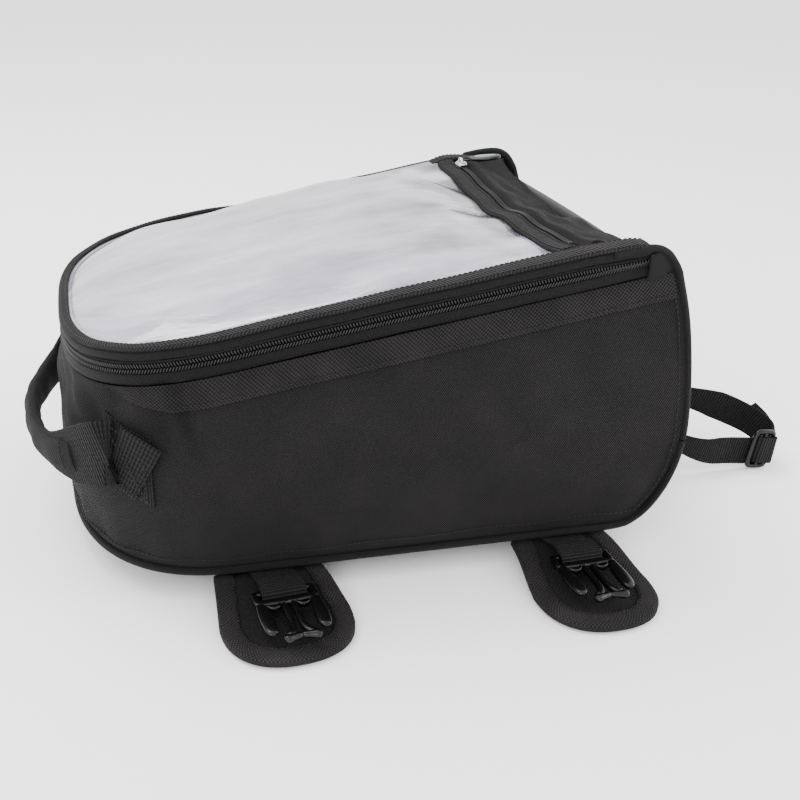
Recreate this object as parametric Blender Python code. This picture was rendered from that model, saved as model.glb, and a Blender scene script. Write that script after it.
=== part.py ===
"""Motorcycle tank bag: expanding fabric body, zipped lid with map window, four magnetic flaps.

Metres, +Z up.  X runs from nose (-X) to rear (+X), -Y is the near side, z = 0 is the resting plane.
"""
import math

import bmesh
import bpy
from mathutils import Vector

MM = 0.001
GAP = 0.3                 # clearance kept between touching pieces, mm

# --- body -------------------------------------------------------------------------------------
BASE = dict(nose=-156, rear=150, nose_len=87, power=2.48, half_nose=116, half_rear=116)
RIM = dict(nose=-154, rear=150, nose_len=99, power=2.9, half_nose=109, half_rear=114)
LID_Z, LID_SLOPE = 129.0, math.radians(9.9)     # rim height at x = -155, slope of the lid
WALL_BOTTOM, WALL_DROP = 19.8, 13.2             # wall bottom height; wall top below the rim line
WALL_THICK, FOAM_THICK, SIDE_BULGE = 2.0, 4.0, 4.5
REAR_PROFILE = [(150, 14.6), (161, 18), (171, 26), (179, 39), (184, 55), (185.5, 72), (183.5, 94),
                (179, 120), (173, 145), (165, 168), (160, 178), (152.6, 184)]
PIPING_R = 2.2
PAD_INSET, PAD_TOP = 30, 13.6

# --- lid ----------------------------------------------------------------------------------------
LID_REAR, LID_SIDE_REAR, ZIP_REAR = 149, 146, 155
FRAME_WIDTH = 13.5
WINDOW_REAR, WINDOW_CROWN = 106, 6.0
BAND_X = (102.5, 112.5)
POCKET_X, POCKET_Y = 116.0, (-84, 97)
HINGE = (151.0, 0.0, 184.5)

# --- zip ----------------------------------------------------------------------------------------
COIL_ROW, COIL_DEPTH = 3.8, 2.5
BAND_HEIGHT, BAND_FRONT = 14, -102

# --- flaps ----------------------------------------------------------------------------------------
FLAP_X = dict(front=-53.0, rear=120.0)
FLAP_HALF, FLAP_ROOT_Y, FLAP_END, FLAP_FLARE = 34.5, 110.0, 36.0, 5.5
FLAP_LEN = dict(front=74.0, rear=81.0)
FLAP_TURN = dict(front=math.radians(5), rear=math.radians(2))   # lies turned towards the rear
FOLD_Y, FOLD_Z = 118.8, 12.5              # fold line of a flap, just outside the base piping
FLAP_FLAT_Z, FLAP_ROOT_Z = 2.9, 9.2
BIND_WIDTH = 11.0
MAGNET_R, MAGNET_HALF, MAGNET_V = 6.5, 12.0, 53.0
WEB_HALF, WEB_T = 12.5, 1.2
BUCKLE_Z, BUCKLE_T, BUCKLE_V = 13.4, 3.6, 27.0

# --- handle and rear strap --------------------------------------------------------------------
HANDLE_PIVOT = (-134.5, 0.0, 87.0)
HANDLE_PATH = [(-134.5, -101.5, 87), (-143, -94.5, 83.5), (-154, -81, 77.5), (-164.5, -63, 73), (-171.5, -42, 71),
               (-175, -20, 70), (-175.5, 0, 70)]
HANDLE_WIDTH = [28, 34, 26, 14, 13, 13, 13]
STRAP_PIVOT = (194.0, 0.0, 49.0)
STRAP_PATH = [(194, -21, 48), (206, -26, 42), (222, -32, 32), (240, -37, 22), (258, -40.4, 15.6), (276, -40.7, 14),
              (298, -41.1, 12), (309, -39, 12.2), (312, -29, 16.5), (306, -21, 22), (294, -15, 28), (277, -11, 35),
              (256, -7, 41), (228, 0, 48), (194, 10, 53)]
STRAP_WIDTH, STRAP_T = 20.0, 1.5


def clear_scene():
    for ob in list(bpy.data.objects):
        bpy.data.objects.remove(ob, do_unlink=True)


def material(name, colour, rough, metallic=0.0, alpha=1.0):
    mat = bpy.data.materials.new(name)
    mat.use_nodes = True
    bsdf = mat.node_tree.nodes["Principled BSDF"]
    bsdf.inputs["Base Color"].default_value = (*colour, 1.0)
    bsdf.inputs["Roughness"].default_value = rough
    bsdf.inputs["Metallic"].default_value = metallic
    bsdf.inputs["Alpha"].default_value = alpha
    mat.diffuse_color = (*colour, alpha)
    return mat


LOOKS = dict(
    fabric=((0.025, 0.025, 0.028), 0.85, 0, 1), foam=((0.08, 0.08, 0.09), 0.95, 0, 1),
    webbing=((0.018, 0.018, 0.02), 0.8, 0, 1), coil=((0.012, 0.012, 0.012), 0.35, 0, 1),
    plastic=((0.01, 0.01, 0.011), 0.25, 0, 1), clear=((0.5, 0.5, 0.58), 0.15, 0, 0.6),
    metal=((0.6, 0.6, 0.6), 0.3, 1, 1), fleece=((0.03, 0.03, 0.03), 1.0, 0, 1),
)


def build(name, verts, faces, look, pivot=None, smooth=True):
    """One named object from millimetre vertices; faces are turned outwards."""
    origin = Vector(pivot or (0, 0, 0))
    mesh = bpy.data.meshes.new(name)
    mesh.from_pydata([tuple((Vector(v) - origin) * MM) for v in verts], [], faces)
    bm = bmesh.new()
    bm.from_mesh(mesh)
    bmesh.ops.recalc_face_normals(bm, faces=bm.faces)
    bmesh.ops.triangulate(bm, faces=bm.faces)
    bm.to_mesh(mesh)
    bm.free()
    ob = bpy.data.objects.new(name, mesh)
    ob.location = origin * MM
    bpy.context.scene.collection.objects.link(ob)
    mesh.materials.append(material(name + "_mat", *LOOKS[look]))
    for poly in mesh.polygons:
        poly.use_smooth = smooth
    return ob


def slab(name, outer, inner, look, pivot=None):
    """Closed sheet between two equal grids of points."""
    rows, cols = len(outer), len(outer[0])
    verts = [p for row in outer for p in row] + [p for row in inner for p in row]
    half, faces = rows * cols, []
    for i in range(rows - 1):
        for j in range(cols - 1):
            a, b, c, d = i * cols + j, i * cols + j + 1, (i + 1) * cols + j + 1, (i + 1) * cols + j
            faces += [(a, b, c, d), (half + d, half + c, half + b, half + a)]
    rim = [j for j in range(cols)] + [i * cols + cols - 1 for i in range(1, rows)]
    rim += [(rows - 1) * cols + j for j in range(cols - 2, -1, -1)] + [i * cols for i in range(rows - 2, 0, -1)]
    for k, a in enumerate(rim):
        b = rim[(k + 1) % len(rim)]
        faces.append((b, a, half + a, half + b))
    return build(name, verts, faces, look, pivot)


def loft(name, rings, look, pivot=None, smooth=True):
    """Closed solid through rings of points, capped at both ends."""
    n, verts, faces = len(rings[0]), [p for ring in rings for p in ring], []
    for i in range(len(rings) - 1):
        for j in range(n):
            k = (j + 1) % n
            faces.append((i * n + j, i * n + k, (i + 1) * n + k, (i + 1) * n + j))
    faces += [tuple(range(n))[::-1], tuple((len(rings) - 1) * n + j for j in range(n))]
    return build(name, verts, faces, look, pivot, smooth)


def box(x0, x1, y0, y1, z0, z1):
    v = [(x, y, z) for z in (z0, z1) for y in (y0, y1) for x in (x0, x1)]
    return v, [(0, 2, 3, 1), (4, 5, 7, 6), (0, 1, 5, 4), (2, 6, 7, 3), (0, 4, 6, 2), (1, 3, 7, 5)]


def cut(ob, tool):
    """Subtract tool from ob and remove it."""
    tool.hide_render, tool.display_type = True, 'WIRE'
    mod = ob.modifiers.new("cut", 'BOOLEAN')
    mod.operation, mod.solver, mod.object = 'DIFFERENCE', 'EXACT', tool
    graph = bpy.context.evaluated_depsgraph_get()
    done = bpy.data.meshes.new_from_object(ob.evaluated_get(graph))
    ob.modifiers.clear()
    ob.data = done
    bpy.data.objects.remove(tool, do_unlink=True)


# --- outlines -----------------------------------------------------------------------------------
def rim_z(x):
    return LID_Z + (x + 155) * math.tan(LID_SLOPE)


def outline(shape, t):
    """Point on the near half of an outline: t 0..0.5 along the side, 0.5..1 round the nose."""
    start = shape["nose"] + shape["nose_len"]
    if t <= 0.5:
        k = t / 0.5
        x = shape["rear"] + (start - shape["rear"]) * k
        return x, -(shape["half_rear"] + (shape["half_nose"] - shape["half_rear"]) * k)
    turn = math.pi / 2 * (1 - (t - 0.5) / 0.5)
    e = 2 / shape["power"]
    return start - shape["nose_len"] * math.cos(turn) ** e, -shape["half_nose"] * math.sin(turn) ** e


def stations(side=7, nose=12, last=0.985):
    """Parameters from the rear of one side to just short of the middle of the nose."""
    return [0.5 * i / side for i in range(side)] + [0.5 + (last - 0.5) * i / nose for i in range(nose + 1)]


def full_path(shape, rear=None, ts=None):
    """Points and inward normals from near rear, round the nose, to far rear."""
    shape = dict(shape, rear=rear if rear is not None else shape["rear"])
    near = [outline(shape, t) for t in (ts or stations())]
    pts = near + [(x, -y) for x, y in reversed(near)]
    out = []
    for i, (x, y) in enumerate(pts):
        a, b = pts[max(i - 1, 0)], pts[min(i + 1, len(pts) - 1)]
        dx, dy = b[0] - a[0], b[1] - a[1]
        n = math.hypot(dx, dy)
        out.append((x, y, -dy / n, dx / n))
    return [(x, y, nx, ny) if -x * nx - y * ny > 0 else (x, y, -nx, -ny) for x, y, nx, ny in out]


def edge_ring(name, section, look, shape=RIM, rear=LID_SIDE_REAR, pivot=None, base_z=rim_z):
    """Sweep a section of (inset, height) points along an outline."""
    rings = [[(x + nx * s, y + ny * s, base_z(x + nx * s) + dz) for s, dz in section]
             for x, y, nx, ny in full_path(shape, rear)]
    return loft(name, rings, look, pivot)


def rect(s0, s1, z0, z1):
    return [(s0, z0), (s1, z0), (s1, z1), (s0, z1)]


def plate(name, shape, inset, rear, top, bottom, look, cols=(-1, -0.9, -0.5, 0, 0.5, 0.9, 1), pivot=None):
    """Horizontal sheet filling an outline; top and bottom give z from (x, y)."""
    path = full_path(shape, rear)
    pts = [(x + nx * inset, y + ny * inset) for x, y, nx, ny in path]
    pts = [(min(x, rear), y) for x, y in pts]
    half, grids = len(pts) // 2, ([], [])
    for i in range(half):
        x, y = pts[i]
        for grid, z in zip(grids, (top, bottom)):
            grid.append([(x, -y * c, z(x, -y * c)) for c in cols])
    return slab(name, *grids, look, pivot)


# --- wall surface ---------------------------------------------------------------------------------
def profile_x(z):
    for (x0, z0), (x1, z1) in zip(REAR_PROFILE, REAR_PROFILE[1:]):
        if z <= z1:
            return x0 + (x1 - x0) * max(0.0, (z - z0)) / (z1 - z0)
    return REAR_PROFILE[-1][0]


def wall_raw(side, t, h):
    bx, by = outline(BASE, t)
    tx, ty = outline(RIM, t)
    zt = rim_z(tx) - WALL_DROP
    x, y, z = bx + (tx - bx) * h, by + (ty - by) * h, WALL_BOTTOM + (zt - WALL_BOTTOM) * h
    lean = max(0.0, 1 - t / 0.4) ** 2
    shift = 0.0
    for _ in range(3):
        top = z + shift * h * math.tan(LID_SLOPE)
        shift = lean * (profile_x(top) - 3.4 - max(0.0, 48 - top) * 0.13 - x)
    x, z = x + shift, z + shift * h * math.tan(LID_SLOPE)
    puff = SIDE_BULGE * math.sin(math.pi * min(h, 1)) ** 0.8 * min(1.0, 0.35 + t * 3)
    n = math.hypot(x * 0.25, y)
    return Vector((x + puff * (x * 0.25 / n if t > 0.5 else 0), side * -1 * (y + puff * y / n), z))


def wall(side, t, h, off=0.0):
    """Point on the wall of the near (-1) or far (+1) side, moved outwards by off."""
    p = wall_raw(side, t, h)
    e = 0.004
    du = wall_raw(side, min(t + e, 1.0), h) - wall_raw(side, max(t - e, 0.0), h)
    dv = wall_raw(side, t, min(h + e, 1.0)) - wall_raw(side, t, max(h - e, 0.0))
    n = du.cross(dv).normalized()
    if n.dot(Vector((p.x * 0.3, p.y, 0))) < 0:
        n = -n
    return p + n * off


def wall_slab(name, out, inn, look, hs, ts=None):
    ts = ts or stations()
    grid = lambda off: [[wall(-1, t, h, off) for h in hs] for t in ts] + \
                       [[wall(1, t, h, off) for h in hs] for t in reversed(ts)]
    return slab(name, grid(out), grid(inn), look)


def wall_t(x, h):
    """Parameter of the wall station at a given x."""
    lo, hi = 0.0, 1.0
    for _ in range(40):
        mid = (lo + hi) / 2
        lo, hi = (mid, hi) if wall_raw(-1, mid, h).x > x else (lo, mid)
    return lo


def make_body():
    # side panel, then rear panel, base, and the piping that runs up the rear edges and round the base
    hs = [0, 0.06, 0.2, 0.4, 0.62, 0.8, 0.93, 1]
    wall_slab("side_wall", 0, -WALL_THICK, "fabric", hs)
    inner = -WALL_THICK - GAP
    wall_slab("side_foam", inner - 0.6, inner - 0.6 - FOAM_THICK, "foam", hs[1::2], stations()[1:])

    def rear_grid(off, half, pts):
        grid = []
        for i, (x, z) in enumerate(pts):
            a, b = pts[max(i - 1, 0)], pts[min(i + 1, len(pts) - 1)]
            tx, tz = b[0] - a[0], b[1] - a[1]
            n = math.hypot(tx, tz)
            h = min(1.0, max(0.0, (z - WALL_BOTTOM) / (165 - WALL_BOTTOM)))
            w = min(half, abs(wall(-1, 0.0, h).y) - 3.4) - max(0.0, z - 150) * 0.3
            puff = 4.0 * math.sin(math.pi * i / (len(pts) - 1))
            grid.append([(x + tz / n * off + puff * math.cos(math.pi / 2 * j / 4), w * j / 4,
                          z - tx / n * off) for j in range(-4, 5)])
        return grid
    slab("rear_wall", rear_grid(0, 114, REAR_PROFILE), rear_grid(-WALL_THICK, 114, REAR_PROFILE), "fabric")
    slab("rear_foam", rear_grid(inner, 104, REAR_PROFILE[2:-2]),
         rear_grid(inner - FOAM_THICK, 104, REAR_PROFILE[2:-2]), "foam")

    flat = lambda z: lambda x, y: z
    plate("base_panel", BASE, 2.7, 146, flat(16.2), flat(14.2), "fabric")
    plate("base_stiffener", BASE, 14, 140, flat(19.0), flat(16.5), "plastic")
    plate("base_pad", BASE, PAD_INSET, 122, lambda x, y: PAD_TOP, flat(0.0), "foam")

    line = [Vector((151.5, -112.2, 184.6)), Vector((156.5, -112.4, 181.4)), Vector((161, -112.6, 176.2))]
    edge = [(x, z) for x, z in REAR_PROFILE if 20 < z < 170]
    for x, z in reversed(edge):
        y = wall(-1, 0.0, min(1, max(0, (z - WALL_BOTTOM) / (165 - WALL_BOTTOM)))).y
        line.append(Vector((x + 0.2, y + 0.6, z)))
    line.append(Vector((159, -116, 17.8)))
    line += [Vector((x, y, 16.6)) for x, y, _, _ in full_path(BASE, 147)][:len(stations())]
    line += [Vector((p.x, -p.y, p.z)) for p in reversed(line)]
    rings = []
    for i, p in enumerate(line):
        tan = (line[min(i + 1, len(line) - 1)] - line[max(i - 1, 0)]).normalized()
        side = Vector((0, 1, 0)) if abs(tan.y) < 0.7 else Vector((1, 0, 0))
        u = (side - tan * side.dot(tan)).normalized()
        w = tan.cross(u)
        rings.append([p + (u * math.cos(a) + w * math.sin(a)) * PIPING_R
                      for a in (math.tau * k / 8 for k in range(8))])
    loft("edge_piping", rings, "fabric")

    for name, side in (("near", -1), ("far", 1)):
        t_front = wall_t(BAND_FRONT, 0.9)
        ts = [0.01] + [t_front * k / 8 for k in range(1, 9)]
        grids = []
        for off in (GAP + 1.7, GAP + 0.5):
            grid = []
            for t in ts:
                high = wall_raw(side, t, 1).z - WALL_BOTTOM
                grid.append([wall(side, t, 1 - BAND_HEIGHT * (1 - k / 2) / high, off) for k in range(3)])
            grids.append(grid)
        slab("zip_band_" + name, *grids, "webbing")
        grids = []
        for off in (GAP + 2.2, GAP):
            grid = []
            for x in (-113, -117, -121, -125, -129, -132.5):
                low = 0.355 + 0.145 * (-113 - x) / 19.5        # the patch climbs towards the nose
                hs = [low + 0.37 * k / 3 for k in range(4)]
                grid.append([wall(side, wall_t(x, h), h, off) for h in hs])
            grids.append(grid)
        slab("handle_patch_" + name, *grids, "webbing")

    s0 = 0.3
    edge_ring("zip_tape_lower", rect(3.1, 4.1, -12.6, -4.4), "fabric", rear=ZIP_REAR)
    edge_ring("zip_coil_lower", rect(s0, s0 + COIL_DEPTH, -4.4 - COIL_ROW, -4.4), "coil",
              rear=ZIP_REAR)
    rows = [[(profile_x(z) + 4.8, y, z) for y in (-32, -10, 12, 24)] for z in (36, 44, 56, 64)]
    slab("strap_anchor", rows, [[(x - 0.7, y, z) for x, y, z in r] for r in rows], "fabric")


def make_lid():
    z = rim_z
    edge_ring("lid_piping", [(0.8, 0.2), (3.4, 0.2), (4.2, 1.5), (4.2, 4.0), (3.4, 5.2), (0.8, 5.2), (0, 4.0),
                             (0, 1.5)], "fabric", pivot=HINGE)
    edge_ring("lid_frame", [(0.6, 5.5), (FRAME_WIDTH, 5.5), (FRAME_WIDTH, 7.0), (0.6, 7.0)], "webbing",
              pivot=HINGE)

    def crown(x, y):
        u = (x + 55) / 148 if x > -55 else (x + 55) / 79
        return WINDOW_CROWN * max(0.0, 1 - abs(u) ** 2.9 - abs(y / 90) ** 2.9)
    plate("map_window", RIM, 7, WINDOW_REAR, lambda x, y: z(x) + 5.2 + crown(x, y),
          lambda x, y: z(x) + 4.3 + crown(x, y), "clear",
          cols=(-1, -0.9, -0.7, -0.35, 0, 0.35, 0.7, 0.9, 1), pivot=HINGE)
    plate("lid_backing", RIM, 4.6, LID_REAR, lambda x, y: z(x) + 2.0, lambda x, y: z(x) + 0.6, "fabric",
          pivot=HINGE)

    inner = 114 - FRAME_WIDTH - 1.4

    def cross(name, x0, x1, lo, hi, look, ys=(-inner, inner), bow=0.0):
        grids = []
        for dz in (hi, lo):
            grids.append([[(x, ys[0] + (ys[1] - ys[0]) * j / 6, z(x) + dz
                            + bow * math.sin(math.pi * j / 6) * math.sin(math.pi * k / 3))
                           for j in range(7)] for k, x in ((k, x0 + (x1 - x0) * k / 3) for k in range(4))])
        return slab(name, *grids, look, HINGE)
    cross("window_binding", *BAND_X, 5.5, 7.0, "webbing")
    cross("pocket_zip_tape", 112.8, 120.6, 4.3, 5.2, "fabric")
    cross("pocket_zip_coil", POCKET_X - 1.8, POCKET_X + 1.8, 5.5, 7.7, "coil", POCKET_Y)
    cross("rear_yoke", 121.0, LID_REAR, 4.0, 5.6, "fabric", bow=2.0)
    edge_ring("zip_tape_upper", rect(3.1, 4.1, -4.1, -0.1), "fabric", pivot=HINGE)
    edge_ring("zip_coil_upper", rect(0.3, 0.3 + COIL_DEPTH, -4.1, -0.3), "coil", pivot=HINGE)


def pull_plate(name, centre, length, width, thick, along, up, pivot):
    """Zip pull: a rounded tag with an eye, lying along one direction."""
    side = along.cross(up).normalized()
    outline_pts = []
    for k in range(16):
        a = math.tau * k / 16
        outline_pts.append(along * (math.copysign(abs(math.cos(a)) ** 0.8, math.cos(a)) * length / 2)
                           + side * (math.copysign(abs(math.sin(a)) ** 0.9, math.sin(a)) * width / 2))
    rings = [[centre + p + up * h for p in outline_pts] for h in (-thick / 2, thick / 2)]
    ob = loft(name, rings, "plastic", pivot, smooth=False)
    hole = centre - along * (length / 2 - 4.2)
    eye = [[hole + along * (1.6 * math.cos(math.tau * k / 10)) + side * (2.2 * math.sin(math.tau * k / 10)) + up * h
            for k in range(10)] for h in (-thick, thick)]
    cut(ob, loft("eye", eye, "plastic", pivot))
    return ob


def make_sliders():
    # pocket slider: channel over the coil with a bridge for the pull
    x, y = POCKET_X, POCKET_Y[1] - 8
    z0 = rim_z(x)
    channel = [(-3.4, 6.0), (-2.3, 6.0), (-2.3, 8.1), (2.3, 8.1), (2.3, 6.0), (3.4, 6.0), (3.4, 9.0), (0.9, 9.1),
               (0.9, 11.2), (-0.9, 11.2), (-0.9, 9.1), (-3.4, 9.0)]
    rings = [[(x + a, y + dy, z0 + b) for a, b in channel] for dy in (-5, 5)]
    ob = loft("pocket_slider", rings, "metal", (x, y, z0 + 10), smooth=False)
    v, f = box(x - 4, x + 4, y - 3.2, y + 3.2, z0 + 9.3, z0 + 10.4)
    cut(ob, build("slot", v, f, "metal", (x, y, z0 + 10)))
    along = Vector((0.86, -0.51, 0.0)).normalized()
    along.z = math.tan(LID_SLOPE) * along.x
    along.normalize()
    up = Vector((-math.sin(LID_SLOPE), 0, math.cos(LID_SLOPE)))
    base = Vector((x, y, z0 + 12.8))
    pull_plate("pocket_pull", base + along * 13, 26, 10, 2.4, along, up, tuple(base))

    # main zip slider, parked at the rear end of the far side
    t = 0.1
    rx, ry = outline(dict(RIM, rear=LID_REAR), t)
    y = -ry
    mid = rim_z(rx) - 4.25
    channel = [(0.7, -5.2), (0.7, -4.1), (1.2, -4.1), (1.2, 4.1), (0.7, 4.1), (0.7, 5.2), (2.2, 5.2), (2.2, 0.9),
               (4.8, 0.9), (4.8, -0.9), (2.2, -0.9), (2.2, -5.2)]
    rings = [[(rx + dx, y + a + 0.1, mid + b + dx * math.tan(LID_SLOPE)) for a, b in channel] for dx in (-6, 6)]
    pivot = (rx, y + 3.6, mid)
    ob = loft("main_slider", rings, "metal", pivot, smooth=False)
    v, f = box(rx - 1.8, rx + 1.8, y + 2.9, y + 4.2, mid - 3, mid + 3)
    cut(ob, build("slot", v, f, "metal", pivot))
    along = Vector((-math.cos(LID_SLOPE), 0, -math.sin(LID_SLOPE)))
    pull_plate("main_pull", Vector((rx, y + 6.6, mid)) + along * 15, 26, 9, 2.4, along, Vector((0, 1, 0)),
               (rx, y + 6.6, mid))


# --- flaps ----------------------------------------------------------------------------------------
def flap_z(v):
    k = min(1.0, max(0.0, (v - 8) / 40))
    return FLAP_ROOT_Z + (FLAP_FLAT_Z - FLAP_ROOT_Z) * (3 * k * k - 2 * k ** 3)


def flap_half(v, length, inset=0.0):
    """Half width of the flap at distance v from its root."""
    straight = length - FLAP_END
    half = FLAP_HALF - inset
    if v <= straight:
        return half - FLAP_FLARE * (1 - v / straight)
    k = min(1.0, (v - straight) / (FLAP_END - inset))
    return half * (1 - k ** 2.5) ** (1 / 2.3)


def flap_rows(length, inset):
    straight, reach = length - FLAP_END, FLAP_END - inset
    return [0, 12, 24, 33, straight] + [straight + reach * k for k in (0.3, 0.55, 0.75, 0.88, 0.96, 0.992)]


def flap_point(x0, side, turn, x, v, z):
    """World point of a flap: x across it, v outwards from its root, turned about the root's middle."""
    return (x0 + x * math.cos(turn) + v * math.sin(turn),
            side * (FLAP_ROOT_Y + v * math.cos(turn) - x * math.sin(turn)), z)


def make_flap(tag, x0, side, length, turn):
    pivot = (x0, side * FOLD_Y, FOLD_Z)
    point = lambda x, v, z: flap_point(x0, side, turn, x, v, z)
    at = lambda x, v, dz: point(x, v, flap_z(v) + dz)

    def skin(name, inset, lo, hi, look):
        grids = [[[at(flap_half(v, length, inset) * (j / 2 - 1), v, dz) for j in range(5)]
                  for v in flap_rows(length, inset)]
                 for dz in (hi, lo)]
        slab(name, *grids, look, pivot)
    skin("flap_cover_" + tag, 1.6, 0.9, 1.7, "fabric")
    skin("flap_backing_" + tag, BIND_WIDTH + 0.5, -2.9, -0.9, "fleece")

    rows = flap_rows(length, 0)
    pts = [(-flap_half(v, length), v) for v in rows] + [(flap_half(v, length), v) for v in reversed(rows)]
    rings = []
    for i, (x, v) in enumerate(pts):
        a, b = pts[max(i - 1, 0)], pts[min(i + 1, len(pts) - 1)]
        dx, dv = b[0] - a[0], b[1] - a[1]
        n = math.hypot(dx, dv)
        ix, iv = dv / n, -dx / n
        if i in (0, len(pts) - 1):
            ix, iv = math.copysign(1, -x), 0.0
        ring = [(0, 2.7), (BIND_WIDTH, 2.7), (BIND_WIDTH, 2.0), (1.2, 2.0), (1.2, -1.9), (BIND_WIDTH, -1.9),
                (BIND_WIDTH, -2.6), (0, -2.6)]
        rings.append([at(x + ix * s, v + iv * s, dz) for s, dz in ring])
    loft("flap_binding_" + tag, rings, "webbing", pivot)

    bar = []                                   # one long magnet with rounded ends in the flat part
    for k in range(16):
        a = math.tau * (k + 0.5) / 16
        bar.append((MAGNET_R * math.cos(a) + math.copysign(MAGNET_HALF, math.cos(a)),
                    MAGNET_V + MAGNET_R * math.sin(a)))
    loft("flap_magnet_" + tag, [[point(x, v, FLAP_FLAT_Z + dz) for x, v in bar] for dz in (-0.6, 0.6)], "metal",
         pivot, smooth=False)

    r = BUCKLE_T / 2 + 3 * GAP + WEB_T / 2
    bend = BUCKLE_V + 1.4                      # webbing folds round the buckle bar here
    line = [(1, 12.7), (9, 12.7), (14, 14.2), (19, BUCKLE_Z + r), (bend - 2, BUCKLE_Z + r)]
    line += [(bend + r * math.sin(a), BUCKLE_Z + r * math.cos(a)) for a in (0.5, 1.1, math.pi / 2, 2.04, 2.64)]
    line += [(bend - 2, BUCKLE_Z - r), (22.5, BUCKLE_Z - r)]
    rings = []
    for i, (v, z) in enumerate(line):
        a, b = line[max(i - 1, 0)], line[min(i + 1, len(line) - 1)]
        n = math.hypot(b[0] - a[0], b[1] - a[1])
        nv, nz = -(b[1] - a[1]) / n * WEB_T / 2, (b[0] - a[0]) / n * WEB_T / 2
        rings.append([point(x, v + q * nv, z + q * nz)
                      for x, q in ((-WEB_HALF, -1), (WEB_HALF, -1), (WEB_HALF, 1), (-WEB_HALF, 1))])
    loft("flap_webbing_" + tag, rings, "webbing", pivot)
    make_buckle("buckle_" + tag, lambda x, b, h: point(x, BUCKLE_V + b, BUCKLE_Z + h))


def make_buckle(name, at):
    """Male half of a side-release buckle: bar, two sprung arms and a guide stem, in one moulding."""
    right = [(16.6, -1.9), (17.2, 8), (17.4, 13), (17.8, 18), (17.4, 26), (16.0, 30.5), (13.4, 32.0), (11.0, 30.5),
             (10.2, 25), (10.9, 18), (11.2, 12.4), (9.4, 10.8), (5.2, 11.2), (4.2, 13.5), (4.2, 28.5), (5.6, 32.4),
             (8.8, 34.0), (9.5, 36.2), (8.2, 38.2), (4.6, 38.6), (2.2, 37.4)]
    pts = right + [(-a, b) for a, b in reversed(right)]
    half, pivot = BUCKLE_T / 2, at(0, 0, 0)
    ob = loft(name, [[at(a, b, h) for a, b in pts] for h in (-half, half)], "plastic", pivot, smooth=False)
    for x, b0, b1 in ((13.4, 1.7, 6.0), (0.7, 14, 32)):
        slot = [[at(a, b, h) for a, b in ((-x, b0), (x, b0), (x, b1), (-x, b1))] for h in (-4, 4)]
        cut(ob, loft("slot", slot, "plastic", pivot))


# --- handle and strap -------------------------------------------------------------------------------
def ribbon_frames(line, ups):
    out = []
    for i, p in enumerate(line):
        tan = (line[min(i + 1, len(line) - 1)] - line[max(i - 1, 0)]).normalized()
        up = (ups[i] - tan * ups[i].dot(tan)).normalized()
        out.append((p, up, tan.cross(up).normalized()))
    return out


def make_handle():
    near = [Vector(p) for p in HANDLE_PATH]
    line = near + [Vector((p.x, -p.y, p.z)) for p in reversed(near[:-1])]
    widths = HANDLE_WIDTH + HANDLE_WIDTH[-2::-1]
    frames = ribbon_frames(line, [Vector((0, 0, 1))] * len(line))
    rings = [[p + u * (w / 2 * a) + n * (1.1 * b) for a, b in ((-1, -1), (1, -1), (1, 1), (-1, 1))]
             for (p, u, n), w in zip(frames, widths)]
    loft("handle_webbing", rings, "webbing", HANDLE_PIVOT)
    grip, verts, faces = frames[3:-3], [], []
    count = 12
    for p, u, n in grip:
        for su, sn in ((9.4, 4.1), (7.4, 2.0)):
            for k in range(count):
                a = math.tau * k / count
                e = 0.35 if su < 8 else 0.8
                verts.append(p + u * (su * math.copysign(abs(math.cos(a)) ** e, math.cos(a)))
                             + n * (sn * math.copysign(abs(math.sin(a)) ** e, math.sin(a))))
    ring = 2 * count
    for i in range(len(grip) - 1):
        for s in (0, count):
            for k in range(count):
                q = (k + 1) % count
                face = (i * ring + s + k, i * ring + s + q, (i + 1) * ring + s + q, (i + 1) * ring + s + k)
                faces.append(face if s else face[::-1])
    for i in (0, len(grip) - 1):
        for k in range(count):
            q = (k + 1) % count
            faces.append((i * ring + k, i * ring + q, i * ring + count + q, i * ring + count + k))
    build("handle_grip", verts, faces, "webbing", HANDLE_PIVOT)


def smooth_line(points, steps=2):
    """Catmull-Rom points through a rough path."""
    pts = [Vector(p) for p in points]
    out = []
    for i in range(len(pts) - 1):
        a, b, c, d = pts[max(i - 1, 0)], pts[i], pts[i + 1], pts[min(i + 2, len(pts) - 1)]
        for k in range(steps):
            t = k / steps
            out.append(0.5 * (2 * b + (c - a) * t + (2 * a - 5 * b + 4 * c - d) * t * t
                              + (3 * b - a - 3 * c + d) * t ** 3))
    return out + [pts[-1]]


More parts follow.
